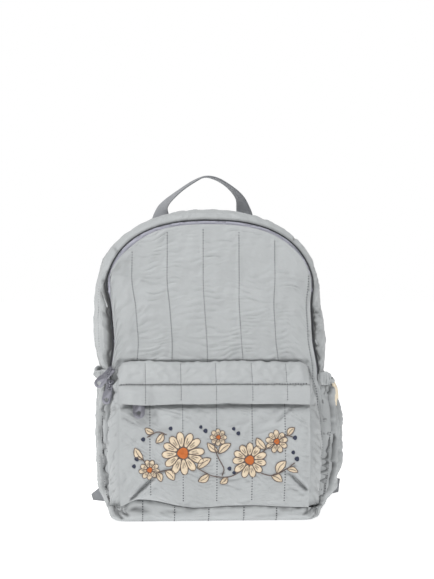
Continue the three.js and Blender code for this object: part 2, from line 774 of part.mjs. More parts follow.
// Half width of the band's outer surface behind a pouch, at a depth from front 0 to back 1.
function bandSurface(z, depth) {
  const out = read(bandDepths, 'out', depth, 'depth');
  const front = halfWidthAt(seamOutline, z);
  const back = halfWidthAt(backOutline, z);
  const middle = halfWidthAt(bandOutline, z);
  return front + (back - front) * depth + (middle - (front + back) / 2) * out;
}

function pouchPoint(side, full, z, share, clearance) {
  const y = -pouchFront + (pouchFront + pouchBack) * share;
  const depth = (y + frontDepth) / (frontDepth + backDepth);
  const height = (z - basePlaneGap) / (pouchTop - basePlaneGap);
  const seated = bandSurface(z, depth) + clearance;
  const fullness = read(pouchFullness, 'out', height) * Math.sin(Math.PI * share) ** 0.45;
  const swell = Math.max(0, full - halfWidthAt(bandOutline, springHeight * 0.4) - clearance) * fullness;
  return { x: side * (seated + swell) + lean(z), y };
}

function pouchWallBetween(side, full, low, high, heights, fold) {
  const stations = shares(steps.pouch);
  const surface = (offset) => grid(heights, stations, (v, share, i, j) => {
    const z = low + (high - low) * v;
    const crease = fold * (j % 2 ? 1 : 0) * Math.sin(Math.PI * share) * (0.35 + 0.65 * v);
    const { x, y } = pouchPoint(side, full, z, share, gatherDepth + seamGap + pouchLift + pouchWall);
    return new THREE.Vector3(x - side * (crease + offset), y, z);
  });
  const thickness = pouchWall - fold;
  return wall(surface(0), surface(thickness));
}

function sidePocket(side, full) {
  const top = pouchTop - bandHeight - seamGap;
  return pouchWallBetween(side, full, basePlaneGap, top, pouchHeights, gatherDepth);
}
function sidePocketBand(side, full) {
  return pouchWallBetween(side, full, pouchTop - bandHeight, pouchTop, [0, 0.5, 1], gatherDepth * 0.7);
}

// A blank cloth label hanging from the band of the right pouch, on the outside.
function sideLabel() {
  const top = pouchTop - bandHeight;
  const rows = shares(steps.label);
  const columns = [0, 0.5, 1];
  const place = (v, u, offset) => {
    const z = top - labelLength * v;
    const share = labelShare + (labelWidth / (pouchFront + pouchBack)) * u;
    const { x, y } = pouchPoint(1, pouchFullRight, z, share, gatherDepth + seamGap + pouchLift + pouchWall);
    return new THREE.Vector3(x + labelLift + offset, y, z);
  };
  return wall(
    grid(rows, columns, (v, u) => place(v, u, labelThickness)),
    grid(rows, columns, (v, u) => place(v, u, 0)),
  );
}

// Zip hardware: a slider with a bridge over the pull's bar

function toManifold(geometry) {
  const bare = geometry.clone();
  bare.deleteAttribute('normal');
  bare.deleteAttribute('uv');
  const merged = mergeVertices(bare, 1e-4);
  return new wasm.Manifold(new wasm.Mesh({
    numProp: 3,
    vertProperties: new Float32Array(merged.attributes.position.array),
    triVerts: new Uint32Array(merged.index.array),
  }));
}
function fromManifold(solid) {
  const mesh = solid.getMesh();
  const geometry = new THREE.BufferGeometry();
  geometry.setAttribute('position', new THREE.BufferAttribute(new Float32Array(mesh.vertProperties), 3));
  geometry.setIndex(new THREE.BufferAttribute(new Uint32Array(mesh.triVerts), 1));
  geometry.computeVertexNormals();
  return geometry;
}

// The slider lies flat, its length along Z and its back at the depth of the bar's axis plus this.
const barToBody = Math.hypot(pullBar, pullThickness) / 2 + runningGap * 0.6;

function zipSlider() {
  const taper = sliderWidth * 0.72;
  const outline = new THREE.Shape([
    new THREE.Vector2(-taper / 2, -sliderLength / 2),
    new THREE.Vector2(taper / 2, -sliderLength / 2),
    new THREE.Vector2(sliderWidth / 2, sliderLength * 0.1),
    new THREE.Vector2(sliderWidth / 2, sliderLength / 2),
    new THREE.Vector2(-sliderWidth / 2, sliderLength / 2),
    new THREE.Vector2(-sliderWidth / 2, sliderLength * 0.1),
  ]);
  const body = new THREE.ExtrudeGeometry(outline, { depth: sliderThickness, bevelEnabled: false });
  body.rotateX(Math.PI / 2);
  body.translate(0, barToBody + sliderThickness, 0);
  const sweep = THREE.MathUtils.degToRad(bridgeSweep);
  const bridge = tube(shares(steps.bridge).map((s) => {
    const angle = -sweep / 2 + sweep * s;
    const radial = new THREE.Vector3(0, -Math.cos(angle), Math.sin(angle));
    const past = Math.max(0, Math.abs(angle) - Math.PI / 2);
    const centre = radial.clone().multiplyScalar(bridgeRadius + bridgeSpread * past);
    return shares(coilSides).slice(0, coilSides).map((t) => centre.clone()
      .addScaledVector(radial, bridgeWire * Math.cos(2 * Math.PI * t))
      .add(new THREE.Vector3(bridgeWire * 1.4 * Math.sin(2 * Math.PI * t), 0, 0)));
  }));
  return fromManifold(toManifold(body).add(toManifold(bridge)));
}

// A pull hangs from its bar, whose axis is the origin, and lies flat across the depth.
function zipPull(length, width) {
  const outline = new THREE.Shape();
  const shoulder = -(pullWindow + pullBar * 1.5);
  const tipRadius = width / 2;
  outline.moveTo(-pullNeckWidth / 2, pullBar / 2);
  outline.lineTo(-pullNeckWidth / 2, shoulder);
  outline.lineTo(-width / 2, shoulder - 3);
  outline.absarc(0, -(length - tipRadius), tipRadius, Math.PI, 2 * Math.PI, false);
  outline.lineTo(width / 2, shoulder - 3);
  outline.lineTo(pullNeckWidth / 2, shoulder);
  outline.lineTo(pullNeckWidth / 2, pullBar / 2);
  const window = new THREE.Path([
    new THREE.Vector2(-pullWindowWidth / 2, -pullBar / 2),
    new THREE.Vector2(pullWindowWidth / 2, -pullBar / 2),
    new THREE.Vector2(pullWindowWidth / 2, -pullBar / 2 - pullWindow),
    new THREE.Vector2(-pullWindowWidth / 2, -pullBar / 2 - pullWindow),
  ]);
  const hole = new THREE.Path();
  hole.absarc(0, -(length - tipRadius), pullHoleRadius, 0, 2 * Math.PI, true);
  outline.holes.push(window, hole);
  const plate = new THREE.ExtrudeGeometry(outline, {
    depth: pullThickness, bevelEnabled: false, curveSegments: 7,
  });
  plate.rotateX(Math.PI / 2);
  plate.translate(0, pullThickness / 2, 0);
  return plate;
}

// Places of the three bar axes
const mainSliderHeight = zipShare * springHeight + sliderRise;
const sliderEdge = 1 - (0.75 * sliderWidth) / seamHalfWidth;
const sliderSeat = frontFace(sliderEdge, zipShare * springHeight) + puff * 0.4 + runningGap;
const mainBarDepth = sliderSeat + sliderThickness + barToBody;
function mainSliderPlace(height) {
  const x = lean(height) - halfWidthAt(seamOutline, height) + sideReveal * 0.6;
  return new THREE.Vector3(x, -mainBarDepth, height);
}
const upperSliderPlace = mainSliderPlace(mainSliderHeight);
const lowerSliderPlace = mainSliderPlace(mainSliderHeight - sliderLength - sliderParting);
const pocketBarDepth = pocketTapeFront + seamGap + sliderThickness + barToBody;
const pocketSliderPlace = new THREE.Vector3(pocketSliderX, -pocketBarDepth, pocketZipHeight);

// Handle and straps

const backFace = backDepth + seamGap + padding + backPuff;
const footDepth = backSeat(0.5, 0.965, 1) + seamGap + webbingThickness / 2;

function carryHandle() {
  const curve = new THREE.CatmullRomCurve3(handleRows.map((row) => new THREE.Vector3(
    row.across * bodyHalfWidth,
    footDepth + row.behind * handleWidth,
    bodyHeight + handleRise * row.rise,
  )), false, 'centripetal');
  const turnAt = (s) => {
    const place = s * (handleRows.length - 1);
    const row = Math.min(handleRows.length - 2, Math.floor(place));
    return THREE.MathUtils.lerp(handleRows[row].turn, handleRows[row + 1].turn, place - row);
  };
  return tube(strapRings(curve, steps.handle, handleWidth, webbingThickness, flatSection, turnAt));
}

const adjusterTop = strapRows[strapRows.length - 1].height * backCrown - seamGap;
const adjusterX = strapRows[strapRows.length - 1].across * backHalfWidth;
const adjusterY = backFace + strapRows[strapRows.length - 1].behind * strapWidth;
const anchorHeight = baseRise + anchorRise;
const anchorReach = baseHalfWidth + anchorOut - anchorLow;
const anchorDepth = backSeat(0.89, 0.08, 0.56) + seamGap;

function shoulderStrap(side) {
  const curve = new THREE.CatmullRomCurve3(strapRows.map((row) => new THREE.Vector3(
    side * row.across * backHalfWidth + lean(row.height * backCrown),
    backFace + row.behind * strapWidth + strapThickness / 2,
    row.height * backCrown,
  )), false, 'centripetal');
  const rings = levelRings(curve, steps.strap, strapWidth, strapThickness, padSection);
  return tube(rings.map((ring, i) => {
    const end = Math.min(i, rings.length - 1 - i);
    const squeeze = end === 0 ? 0.62 : 1;
    const middle = ring.reduce((sum, p) => sum.add(p), new THREE.Vector3()).divideScalar(ring.length);
    return ring.map((p) => new THREE.Vector3(p.x, middle.y + (p.y - middle.y) * squeeze, p.z));
  }));
}

function strapAdjuster(side) {
  const outline = new THREE.Shape([
    new THREE.Vector2(-adjusterWidth / 2, 0),
    new THREE.Vector2(adjusterWidth / 2, 0),
    new THREE.Vector2(adjusterWidth / 2, -adjusterLength),
    new THREE.Vector2(-adjusterWidth / 2, -adjusterLength),
  ]);
  const slotHalf = adjusterWidth / 2 - adjusterBar;
  const slotHeight = (adjusterLength - 3 * adjusterBar) / 2;
  for (const top of [-adjusterBar, -2 * adjusterBar - slotHeight]) {
    outline.holes.push(new THREE.Path([
      new THREE.Vector2(-slotHalf, top),
      new THREE.Vector2(-slotHalf, top - slotHeight),
      new THREE.Vector2(slotHalf, top - slotHeight),
      new THREE.Vector2(slotHalf, top),
    ]));
  }
  const frame = new THREE.ExtrudeGeometry(outline, { depth: adjusterThickness, bevelEnabled: false });
  frame.rotateX(Math.PI / 2);
  frame.translate(side * adjusterX, adjusterY + strapThickness / 2 + adjusterThickness / 2, adjusterTop);
  return frame;
}

function strapWebbing(side) {
  const top = adjusterTop - adjusterLength - seamGap;
  const start = new THREE.Vector3(side * adjusterX, adjusterY + strapThickness / 2, top);
  const end = new THREE.Vector3(side * anchorReach, anchorDepth + anchorThickness + seamGap, anchorHeight);
  const curve = new THREE.CatmullRomCurve3(webbingRows.map((row) => new THREE.Vector3(
    start.x + (end.x - start.x) * row.across,
    start.y + (end.y + webbingThickness / 2 - start.y) * row.across,
    end.z + (start.z - end.z) * row.height,
  )), false, 'centripetal');
  return tube(levelRings(curve, steps.webbing, strapWebbingWidth, webbingThickness, flatSection));
}

// A tab of folded webbing, sewn into the low corner of the back and standing out past the side.
function strapAnchor(side) {
  const seatX = halfWidthAt(backOutline, anchorHeight) - anchorSewn;
  const tip = baseHalfWidth + anchorOut;
  const outline = new THREE.Shape([
    new THREE.Vector2(seatX, anchorHeight - anchorSewnLow),
    new THREE.Vector2(tip, anchorHeight - anchorLow),
    new THREE.Vector2(tip - 1, anchorHeight + anchorHigh),
    new THREE.Vector2(seatX, anchorHeight + anchorSewnHigh),
  ].map((p) => new THREE.Vector2(side * p.x, p.y)));
  const tab = new THREE.ExtrudeGeometry(outline, { depth: anchorThickness, bevelEnabled: false });
  tab.rotateX(Math.PI / 2);
  tab.translate(0, anchorDepth + anchorThickness, 0);
  return tab;
}

// Colours and the assembly

const finishes = {
  quilted: { color: 0xb8bcbd, roughness: 0.75, metalness: 0 },
  webbing: { color: 0x94969a, roughness: 0.8, metalness: 0 },
  tape: { color: 0xb5b6be, roughness: 0.8, metalness: 0 },
  coil: { color: 0x3c3c40, roughness: 0.5, metalness: 0 },
  metal: { color: 0xa6a6ab, roughness: 0.45, metalness: 0.3 },
  plastic: { color: 0x8c8e92, roughness: 0.5, metalness: 0 },
  label: { color: 0xf5e8d0, roughness: 0.9, metalness: 0 },
};

const backpack = new THREE.Group();
function add(name, geometry, finish, parent = backpack) {
  const mesh = new THREE.Mesh(geometry, new THREE.MeshStandardMaterial(finishes[finish]));
  mesh.name = name;
  parent.add(mesh);
  return mesh;
}

add('front_panel', frontPanel(), 'quilted');
add('main_gusset', mainGusset(), 'quilted');
add('back_panel', backPanel(), 'quilted');
add('base_panel', basePanel(), 'quilted');
add('main_zip_tape', mainZipTape(), 'tape');
add('main_zip_coil', mainZipCoil(), 'coil');
add('pocket_front_panel', pocketFrontPanel(), 'quilted');
add('pocket_upper_panel', pocketUpperPanel(), 'quilted');
add('pocket_flap', pocketFlap(), 'quilted');
add('pocket_gusset_left', pocketGusset(-1), 'quilted');
add('pocket_gusset_right', pocketGusset(1), 'quilted');
add('pocket_zip_tape', pocketZipTape(), 'tape');
add('pocket_zip_coil', pocketZipCoil(), 'coil');
for (const [name, side, full] of [['left', -1, pouchFullLeft], ['right', 1, pouchFullRight]]) {
  add(`side_pocket_${name}`, sidePocket(side, full), 'quilted');
  add(`side_pocket_band_${name}`, sidePocketBand(side, full), 'quilted');
}
add('side_label', sideLabel(), 'label');

const hardware = [
  { name: 'main', end: '_upper', place: upperSliderPlace, length: mainPullLength, width: mainPullWidth },
  { name: 'main', end: '_lower', place: lowerSliderPlace, length: mainPullLength, width: mainPullWidth },
  { name: 'pocket', end: '', place: pocketSliderPlace, length: pocketPullLength, width: pocketPullWidth },
];
const pullTurns = [
  { aside: upperPullTurn, out: 0 },
  { aside: lowerPullTurn, out: 0 },
  { aside: 0, out: pocketPullLean },
];
hardware.forEach(({ name, end, place, length, width }, i) => {
  const seat = new THREE.Group();
  seat.position.copy(place);
  seat.rotation.y = THREE.MathUtils.degToRad(pullTurns[i].aside);
  backpack.add(seat);
  add(`${name}_slider${end}`, zipSlider(), 'metal', seat);
  const pull = add(`${name}_pull${end}`, zipPull(length, width), 'metal', seat);
  pull.rotation.x = -THREE.MathUtils.degToRad(pullTurns[i].out);
});

add('carry_handle', carryHandle(), 'webbing');
for (const [name, side] of [['left', -1], ['right', 1]]) {
  add(`shoulder_strap_${name}`, shoulderStrap(side), 'quilted');
  add(`strap_adjuster_${name}`, strapAdjuster(side), 'plastic');
  add(`strap_webbing_${name}`, strapWebbing(side), 'webbing');
  add(`strap_anchor_${name}`, strapAnchor(side), 'webbing');
}

export default backpack;
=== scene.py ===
"""A child's quilted puffer backpack: pale grey-blue padded panels round a main compartment, with a front
pocket, two side pouches, a webbing handle and padded shoulder straps. Lengths are worked in millimetres
and put into the meshes in metres."""

import math

import bmesh
import bpy
import numpy as np
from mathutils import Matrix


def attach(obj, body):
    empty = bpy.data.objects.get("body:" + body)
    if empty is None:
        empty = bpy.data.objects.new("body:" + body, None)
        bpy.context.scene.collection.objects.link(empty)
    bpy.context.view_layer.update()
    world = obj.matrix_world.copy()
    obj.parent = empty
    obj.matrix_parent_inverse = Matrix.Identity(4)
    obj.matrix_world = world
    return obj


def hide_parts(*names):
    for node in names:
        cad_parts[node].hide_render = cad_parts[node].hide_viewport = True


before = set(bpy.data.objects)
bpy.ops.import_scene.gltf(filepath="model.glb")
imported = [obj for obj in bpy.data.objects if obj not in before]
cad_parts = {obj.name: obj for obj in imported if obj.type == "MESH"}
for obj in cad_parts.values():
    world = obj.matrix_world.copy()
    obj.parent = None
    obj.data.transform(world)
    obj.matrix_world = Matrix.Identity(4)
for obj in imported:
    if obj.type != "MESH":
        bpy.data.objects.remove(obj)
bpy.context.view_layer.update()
MM = 0.001


# Camera, light and floor
# The bag stands on a pale studio floor, seen level from the front and a little from its left, in soft
# daylight from all round with a broad lamp at the upper left.
view_turn = math.radians(-3.5)
view_distance = 1840
view_target = np.array([5.7, -0.35, 255.3])
frame_height = 661.8
sensor_side = 36
view_forward = np.array([-math.sin(view_turn), math.cos(view_turn), 0])

camera_data = bpy.data.cameras.new("camera")
camera_data.lens = sensor_side * view_distance / frame_height
camera_data.sensor_width = sensor_side
camera_data.clip_end = 100
camera = bpy.data.objects.new("camera", camera_data)
camera.location = (view_target - view_distance * view_forward) * MM
camera.rotation_euler = (math.pi / 2, 0, view_turn)
bpy.context.scene.collection.objects.link(camera)
bpy.context.scene.camera = camera
bpy.context.scene.view_settings.view_transform = "Standard"

world = bpy.data.worlds.new("studio")
world.use_nodes = True
sky = world.node_tree
sky.nodes["Background"].inputs["Color"].default_value = (1, 1, 1, 1)
seen = sky.nodes.new("ShaderNodeLightPath").outputs["Is Camera Ray"]
strength = sky.nodes.new("ShaderNodeMapRange")
strength.inputs["To Min"].default_value = 0.5
strength.inputs["To Max"].default_value = 1.0
sky.links.new(seen, strength.inputs["Value"])
sky.links.new(strength.outputs["Result"], sky.nodes["Background"].inputs["Strength"])
bpy.context.scene.world = world


def lamp(name, place, target, size, power):
    """A square area lamp at a place, turned to face its target."""
    data = bpy.data.lights.new(name, "AREA")
    data.size = size
    data.energy = power
    lit = bpy.data.objects.new(name, data)
    lit.location = place
    way = np.array(target) - np.array(place)
    lit.rotation_euler = (math.atan2(math.hypot(way[0], way[1]), -way[2]), 0, math.atan2(-way[0], way[1]))
    bpy.context.scene.collection.objects.link(lit)


lamp("key_lamp", (-0.95, -1.0, 2.7), (0, 0, 0.2), 0.6, 54)
lamp("fill_lamp", (1.9, -1.6, 1.0), (0, 0, 0.15), 1.6, 4)

floor_material = bpy.data.materials.new("studio_floor")
floor_material.use_nodes = True
floor_shader = floor_material.node_tree.nodes["Principled BSDF"]
floor_shader.inputs["Base Color"].default_value = (0.9, 0.9, 0.9, 1)
floor_shader.inputs["Roughness"].default_value = 0.9
floor_shader.inputs["Emission Color"].default_value = (1, 1, 1, 1)
floor_shader.inputs["Emission Strength"].default_value = 0.62
floor_reach = 30
floor_mesh = bpy.data.meshes.new("floor")
floor_mesh.from_pydata([(x * floor_reach, y * floor_reach, 0) for x,
                        y in ((-1, -1), (1, -1), (1, 1), (-1, 1))],
                       [], [(0, 1, 2, 3)])
floor_mesh.materials.append(floor_material)
floor = bpy.data.objects.new("floor", floor_mesh)
bpy.context.scene.collection.objects.link(floor)


# Front panel
# The quilted front of the main compartment: crinkled nylon over wadding, sewn down in upright rows, so
# the cloth between two rows puffs up and puckers. Its edge is sewn to the zip tape and the base.
padding, rim_padding, seam_gap = 4.5, 2.2, 0.4
spring_height = 245.0
base_rise, base_half, base_front, base_back, base_curl = 16.5, 119.0, 78.0, 50.0, 21.0
base_top = base_rise + seam_gap
front_depth, back_depth = 45.0, 46.0
crown_lean = -4.7
tape_reveal, side_reveal = 6.5, 2.8
zip_share = 0.655
zip_end = zip_share * spring_height
cell = 3.0
channel, face_channel = 38, 37
quilting = (-85, -47, -8, 31, 70, 107)
band_sides = ((0, .9), (.12, .915), (.3, .925), (.62, .925), (.65, .955), (.7, .985), (.74, 1.0),
              (.79, 1.014), (.88, 1.008),
              (1, .988), (1.12, .983), (1.2, 1))
seam_sides = ((0, .965), (.12, .975), (.24, .998), (.4, 1.03), (.66, 1.004), (.82, .965), (.95, .968),
              (1.1, 1.005), (1.2, 1))
back_sides = ((0, .93), (.12, .96), (.4, .985), (1, 1))
band_outline = {"half": 131.0, "crown": 348.5, "power": 2.15, "sides": band_sides}
seam_outline = {"half": 117.0, "crown": 334.5, "power": 2.45, "sides": seam_sides}
back_outline = {"half": 125.0, "crown": 339.0, "power": 2.3, "sides": back_sides}


def ease(share):
    """Smooth step of a share: 3 s squared less 2 s cubed, held between 0 and 1."""
    s = np.clip(share, 0.0, 1.0)
    return s * s * (3 - 2 * s)


def read(table, at):
    """Value of a table of (place, value) rows at a place, eased from one row to the next."""
    places, values = np.array(table, float).T
    row = np.clip(np.searchsorted(places, at) - 1, 0, len(places) - 2)
    return (values[row] + (values[row + 1] - values[row])
            * ease((at - places[row]) / (places[row + 1] - places[row])))


def lean(z):
    """Sideways lean of the stuffed top: the whole lean times an eased share of the height."""
    return crown_lean * ease((z / spring_height - 0.7) / 0.4)


def arch_rise(share, power):
    """Height of an arch over a share of its half width: (1 - |share|^n)^(1/n)."""
    return (1 - np.minimum(1, np.abs(share)) ** power) ** (1 / power)


def half_width(outline, z):
    """Half width at a height: straight sides scaled by their table, then the arch's own share."""
    above = np.maximum(0, z - spring_height) / (outline["crown"] - spring_height)
    return outline["half"] * arch_rise(above, outline["power"]) * read(outline["sides"], z / spring_height)


def waves(a, b, seed, scale, count=14, stretch=1.0, fan=math.pi):
    """Soft random field: the mean of plane waves of random direction and phase, about one scale long;
    stretch above 1 draws them out along a, and a narrow fan keeps their crests near a's direction."""
    rng = np.random.default_rng(seed)
    turn = math.pi / 2 + (rng.uniform(0, 1, count) - 0.5) * fan
    phase, length = rng.uniform(0, 2 * math.pi, count), rng.uniform(0.6, 1.6, count)
    return sum(np.sin(2 * math.pi * (a * math.cos(t) / stretch + b * math.sin(t)) / (scale * n) + p)
               for t, p, n in zip(turn, phase, length)) / math.sqrt(count / 2)


def normals_of(grid):
    """Unit normals of a grid of points, turned away from the middle of the bag."""
    n = np.cross(np.gradient(grid, axis=1), np.gradient(grid, axis=0))
    n /= np.linalg.norm(n, axis=2, keepdims=True) + 1e-12
    away = (n * (grid - grid.mean((0, 1)) + outward_of(grid))).sum()
    return n if away > 0 else -n


def outward_of(grid):
    """From the middle of the bag to the middle of the grid, made long, so it decides which way is out."""
    return (grid.mean((0, 1)) - np.array([0, 0, 165.0])) * 10


def quads(rows, columns, turned):
    """Corner numbers of a grid's quads, wound the other way where turned."""
    a = (np.arange(rows - 1)[:, None] * columns + np.arange(columns - 1)[None]).ravel()
    ring = [a, a + 1, a + columns + 1, a + columns]
    return np.stack(ring[::-1] if turned else ring, 1)


def wound_in(grid):
    """True where quads run along columns and then rows would face the inside."""
    n = np.cross(np.gradient(grid, axis=1), np.gradient(grid, axis=0))
    return bool((n * outward_of(grid)).sum() < 0)


def puffed(grid, held, growth, pressure, seed, cap=5.0, stiff=4.0):
    """Cloth simulation of a grid of points: held ones stay, the rest have more cloth than room, by one
    share along each axis, and are blown outwards, so they puff and pucker. None moves past the cap."""
    rows, columns = grid.shape[:2]
    start = grid + normals_of(grid) * (waves(*np.mgrid[0:rows, 0:columns] * cell, seed, 16.0) * 0.25
                                       * ~held)[..., None]
    mesh = bpy.data.meshes.new("cloth")
    mesh.from_pydata((start.reshape(-1, 3) * MM).tolist(), [],
                     quads(rows, columns, wound_in(grid)).tolist())
    cloth = bpy.data.objects.new("cloth", mesh)
    bpy.context.scene.collection.objects.link(cloth)
    cloth.shape_key_add(name="Basis")
    rest = cloth.shape_key_add(name="rest")
    rest.data.foreach_set("co", (grid * (1 + np.array(growth)) * MM).ravel())
    cloth.vertex_groups.new(name="held").add(np.nonzero(held.ravel())[0].tolist(), 1.0, "REPLACE")
    modifier = cloth.modifiers.new("cloth", "CLOTH")
    settings = modifier.settings
    settings.vertex_group_mass = "held"
    settings.quality = 5
    settings.mass = 0.0004
    settings.tension_stiffness = settings.compression_stiffness = 15
    settings.shear_stiffness = 6
    settings.bending_stiffness = stiff
    settings.air_damping = 3
    settings.rest_shape_key = rest
    settings.use_pressure = True
    settings.uniform_pressure_force = pressure
    settings.effector_weights.gravity = 0
    modifier.collision_settings.use_collision = False
    frames = 20
    modifier.point_cache.frame_start, modifier.point_cache.frame_end = 1, frames
    for number in range(1, frames + 1):
        bpy.context.scene.frame_set(number)
    settled = cloth.evaluated_get(bpy.context.evaluated_depsgraph_get()).to_mesh()
    flat = np.empty(rows * columns * 3)
    settled.vertices.foreach_get("co", flat)
    bpy.data.objects.remove(cloth)
    bpy.data.meshes.remove(mesh)
    bpy.context.scene.frame_set(1)
    move = flat.reshape(rows, columns, 3) / MM - grid
    far = np.linalg.norm(move, axis=2, keepdims=True)
    return grid + move * np.minimum(1, cap / np.maximum(far, 1e-9))


def tucks(phase, width, up, seed, size=0.5, reach=10.0, apart=7.0):
    """Puckers that start at a row of stitches and run out from it at changing slants: for each side of each
    row, the size of a random wave of the height moved by the slant times the distance, dying away with
    distance. The size of a wave has sharp valleys and round tops. Phase counts the rows."""
    row = np.round(phase)
    side, far = np.sign(phase - row), np.abs(phase - row) * width
    slant = 0.9 * waves(up, row * 53 + side * 29, seed, 70)
    wave = np.abs(waves(up + slant * far, row * 41 + side * 17, seed + 1, apart)) ** 0.8
    return size * (wave - 0.7) * np.exp(-far / reach) * (1 - np.exp(-far / 0.8))


def beside_rows(phase, width, near=1.5):
    """0 on a row of stitches, rising to 1 away from it: 1 - exp(-(distance / near)^2)."""
    return 1 - np.exp(-(np.abs(phase - np.round(phase)) * width / near) ** 2)


def wrinkles(across, up, seed, size=0.4, scale=9.0, stretch=1.6):
    """Wandering wrinkles: the size of a random wave whose crests run across the piece, on a height that
    itself wanders, so the valleys are sharp and the tops round; they come and go in patches."""
    bent = up + 3.0 * waves(across, up, seed + 1, 45) + 0.1 * across * waves(across, up, seed + 2, 120)
    patches = 0.35 + 0.65 * ease(0.5 + 0.6 * waves(across, up, seed + 3, 34))
    return size * patches * (np.abs(waves(across, bent, seed, scale, stretch=stretch, fan=0.9)) ** 0.75
                             - 0.7)


def finer(grid, axes=(0, 1)):
    """Twice as many steps along the axes of points or values: each new one is (9 (b + c) - (a + d)) / 16
    of its four neighbours."""
    for axis in axes:
        g = np.moveaxis(grid, axis, 0)
        ends = np.concatenate([2 * g[:1] - g[1:2], g, 2 * g[-1:] - g[-2:-1]])
        middle = (9 * (ends[1:-2] + ends[2:-1]) - (ends[:-3] + ends[3:])) / 16
        out = np.empty((2 * len(g) - 1,) + g.shape[1:])
        out[0::2], out[1::2] = g, middle
        grid = np.moveaxis(out, 0, axis)
    return grid


def stretched(values, count):
    """A row of values spread evenly over another count of steps."""
    return np.interp(np.linspace(0, 1, count), np.linspace(0, 1, len(values)), values)


def summed(steps):
    """Distance from the start after each step, beginning with 0."""
    return np.concatenate([[0], np.cumsum(steps)])


def run_of(line):
    """Distance along a line of points, from its first one to each."""
    return summed(np.linalg.norm(np.diff(line, axis=0), axis=1))


def sampled(line, run, at):
    """Places on a line of points at given distances along it."""
    return np.stack([np.interp(at, run, line[:, k]) for k in range(line.shape[1])], 1)


def lengths_of(grid):
    """Distances along the rows and columns of a grid, from its first corner, averaged over the other way."""
    across = np.linalg.norm(np.diff(grid, axis=1), axis=2).mean(0)
    up = np.linalg.norm(np.diff(grid, axis=0), axis=2).mean(1)
    return summed(across), summed(up)


def mesh_object(name, points, faces, uv, materials, smooth=True):
    """A mesh object from points in millimetres, faces, one cloth-length pair for each point and its
    materials."""
    mesh = bpy.data.meshes.new(name)
    mesh.from_pydata((points * MM).tolist(), [], faces)
    if uv is not None:
        corners = np.empty(len(mesh.loops), int)
        mesh.loops.foreach_get("vertex_index", corners)
        mesh.uv_layers.new(name="cloth").data.foreach_set("uv", (uv[corners] * MM).ravel())
    mesh.polygons.foreach_set("use_smooth", [smooth] * len(mesh.polygons))
    for material in materials:
        mesh.materials.append(material)
    mesh.update()
    piece = bpy.data.objects.new(name, mesh)
    bpy.context.scene.collection.objects.link(piece)
    return piece


def quilt(name, outer, lining, material, painted_shade=None):
    """A padded piece: a fine outer grid and a coarser lining grid, closed round their edges by one
    many-sided face for each step of the lining. Painted shade, from 0 to 1 over the outer grid, darkens the
    cloth's colour in folds, seams and gaps, where shade falls."""
    rows, columns = outer.shape[:2]
    up_step, side_step = (rows - 1) // (lining.shape[0] - 1), (columns - 1) // (lining.shape[1] - 1)
    turned = wound_in(outer)
    base = rows * columns
    index = np.arange(base).reshape(rows, columns)
    inside = base + np.arange(lining.shape[0] * lining.shape[1]).reshape(lining.shape[:2])
    faces = quads(rows, columns, turned).tolist() + (quads(*lining.shape[:2], not turned) + base).tolist()
    for edge, back, step in ((index[0], inside[0], side_step), (index[:, -1], inside[:, -1], up_step),
                             (index[-1, ::-1], inside[-1, ::-1], side_step),
                             (index[::-1, 0], inside[::-1, 0], up_step)):
        for k in range(len(back) - 1):
            strip = [*edge[k * step:(k + 1) * step + 1].tolist(), int(back[k + 1]), int(back[k])]
            faces.append(strip if turned else strip[::-1])
    across, up = lengths_of(outer)
    uv = np.concatenate([np.stack(np.meshgrid(across, up), -1).reshape(-1, 2),
                         np.stack(np.meshgrid(across[::side_step], up[::up_step]), -1).reshape(-1, 2)])
    points = np.concatenate([outer.reshape(-1, 3), lining.reshape(-1, 3)])
    piece = mesh_object(name, points, faces, uv, [material])
    # Painted shade: a point attribute that darkens the cloth's colour in folds, seams and gaps.
    if painted_shade is not None:
        shades = np.concatenate([np.clip(painted_shade, 0, 0.9).ravel(),
                                 np.zeros(lining.shape[0] * lining.shape[1])])
        piece.data.attributes.new("painted_shade", "FLOAT", "POINT").data.foreach_set("value", shades)
    return piece


def dress(piece, node):
    """Lets a piece ride on the bag and replace its solid."""
    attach(piece, "bag")
    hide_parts(node)


def linear(red, green, blue):
    """Scene colour of a screen colour from 0 to 255."""
    c = np.array([red, green, blue]) / 255
    return (*np.where(c <= 0.04045, c / 12.92, ((c + 0.055) / 1.055) ** 2.4), 1.0)


def node_of(tree, kind, **values):
    """A new shader node with its settings and, under their names, its input values."""
    node = tree.nodes.new(kind)
    for key, value in values.items():
        if key in node.inputs:
            node.inputs[key].default_value = value
        else:
            setattr(node, key, value)
    return node


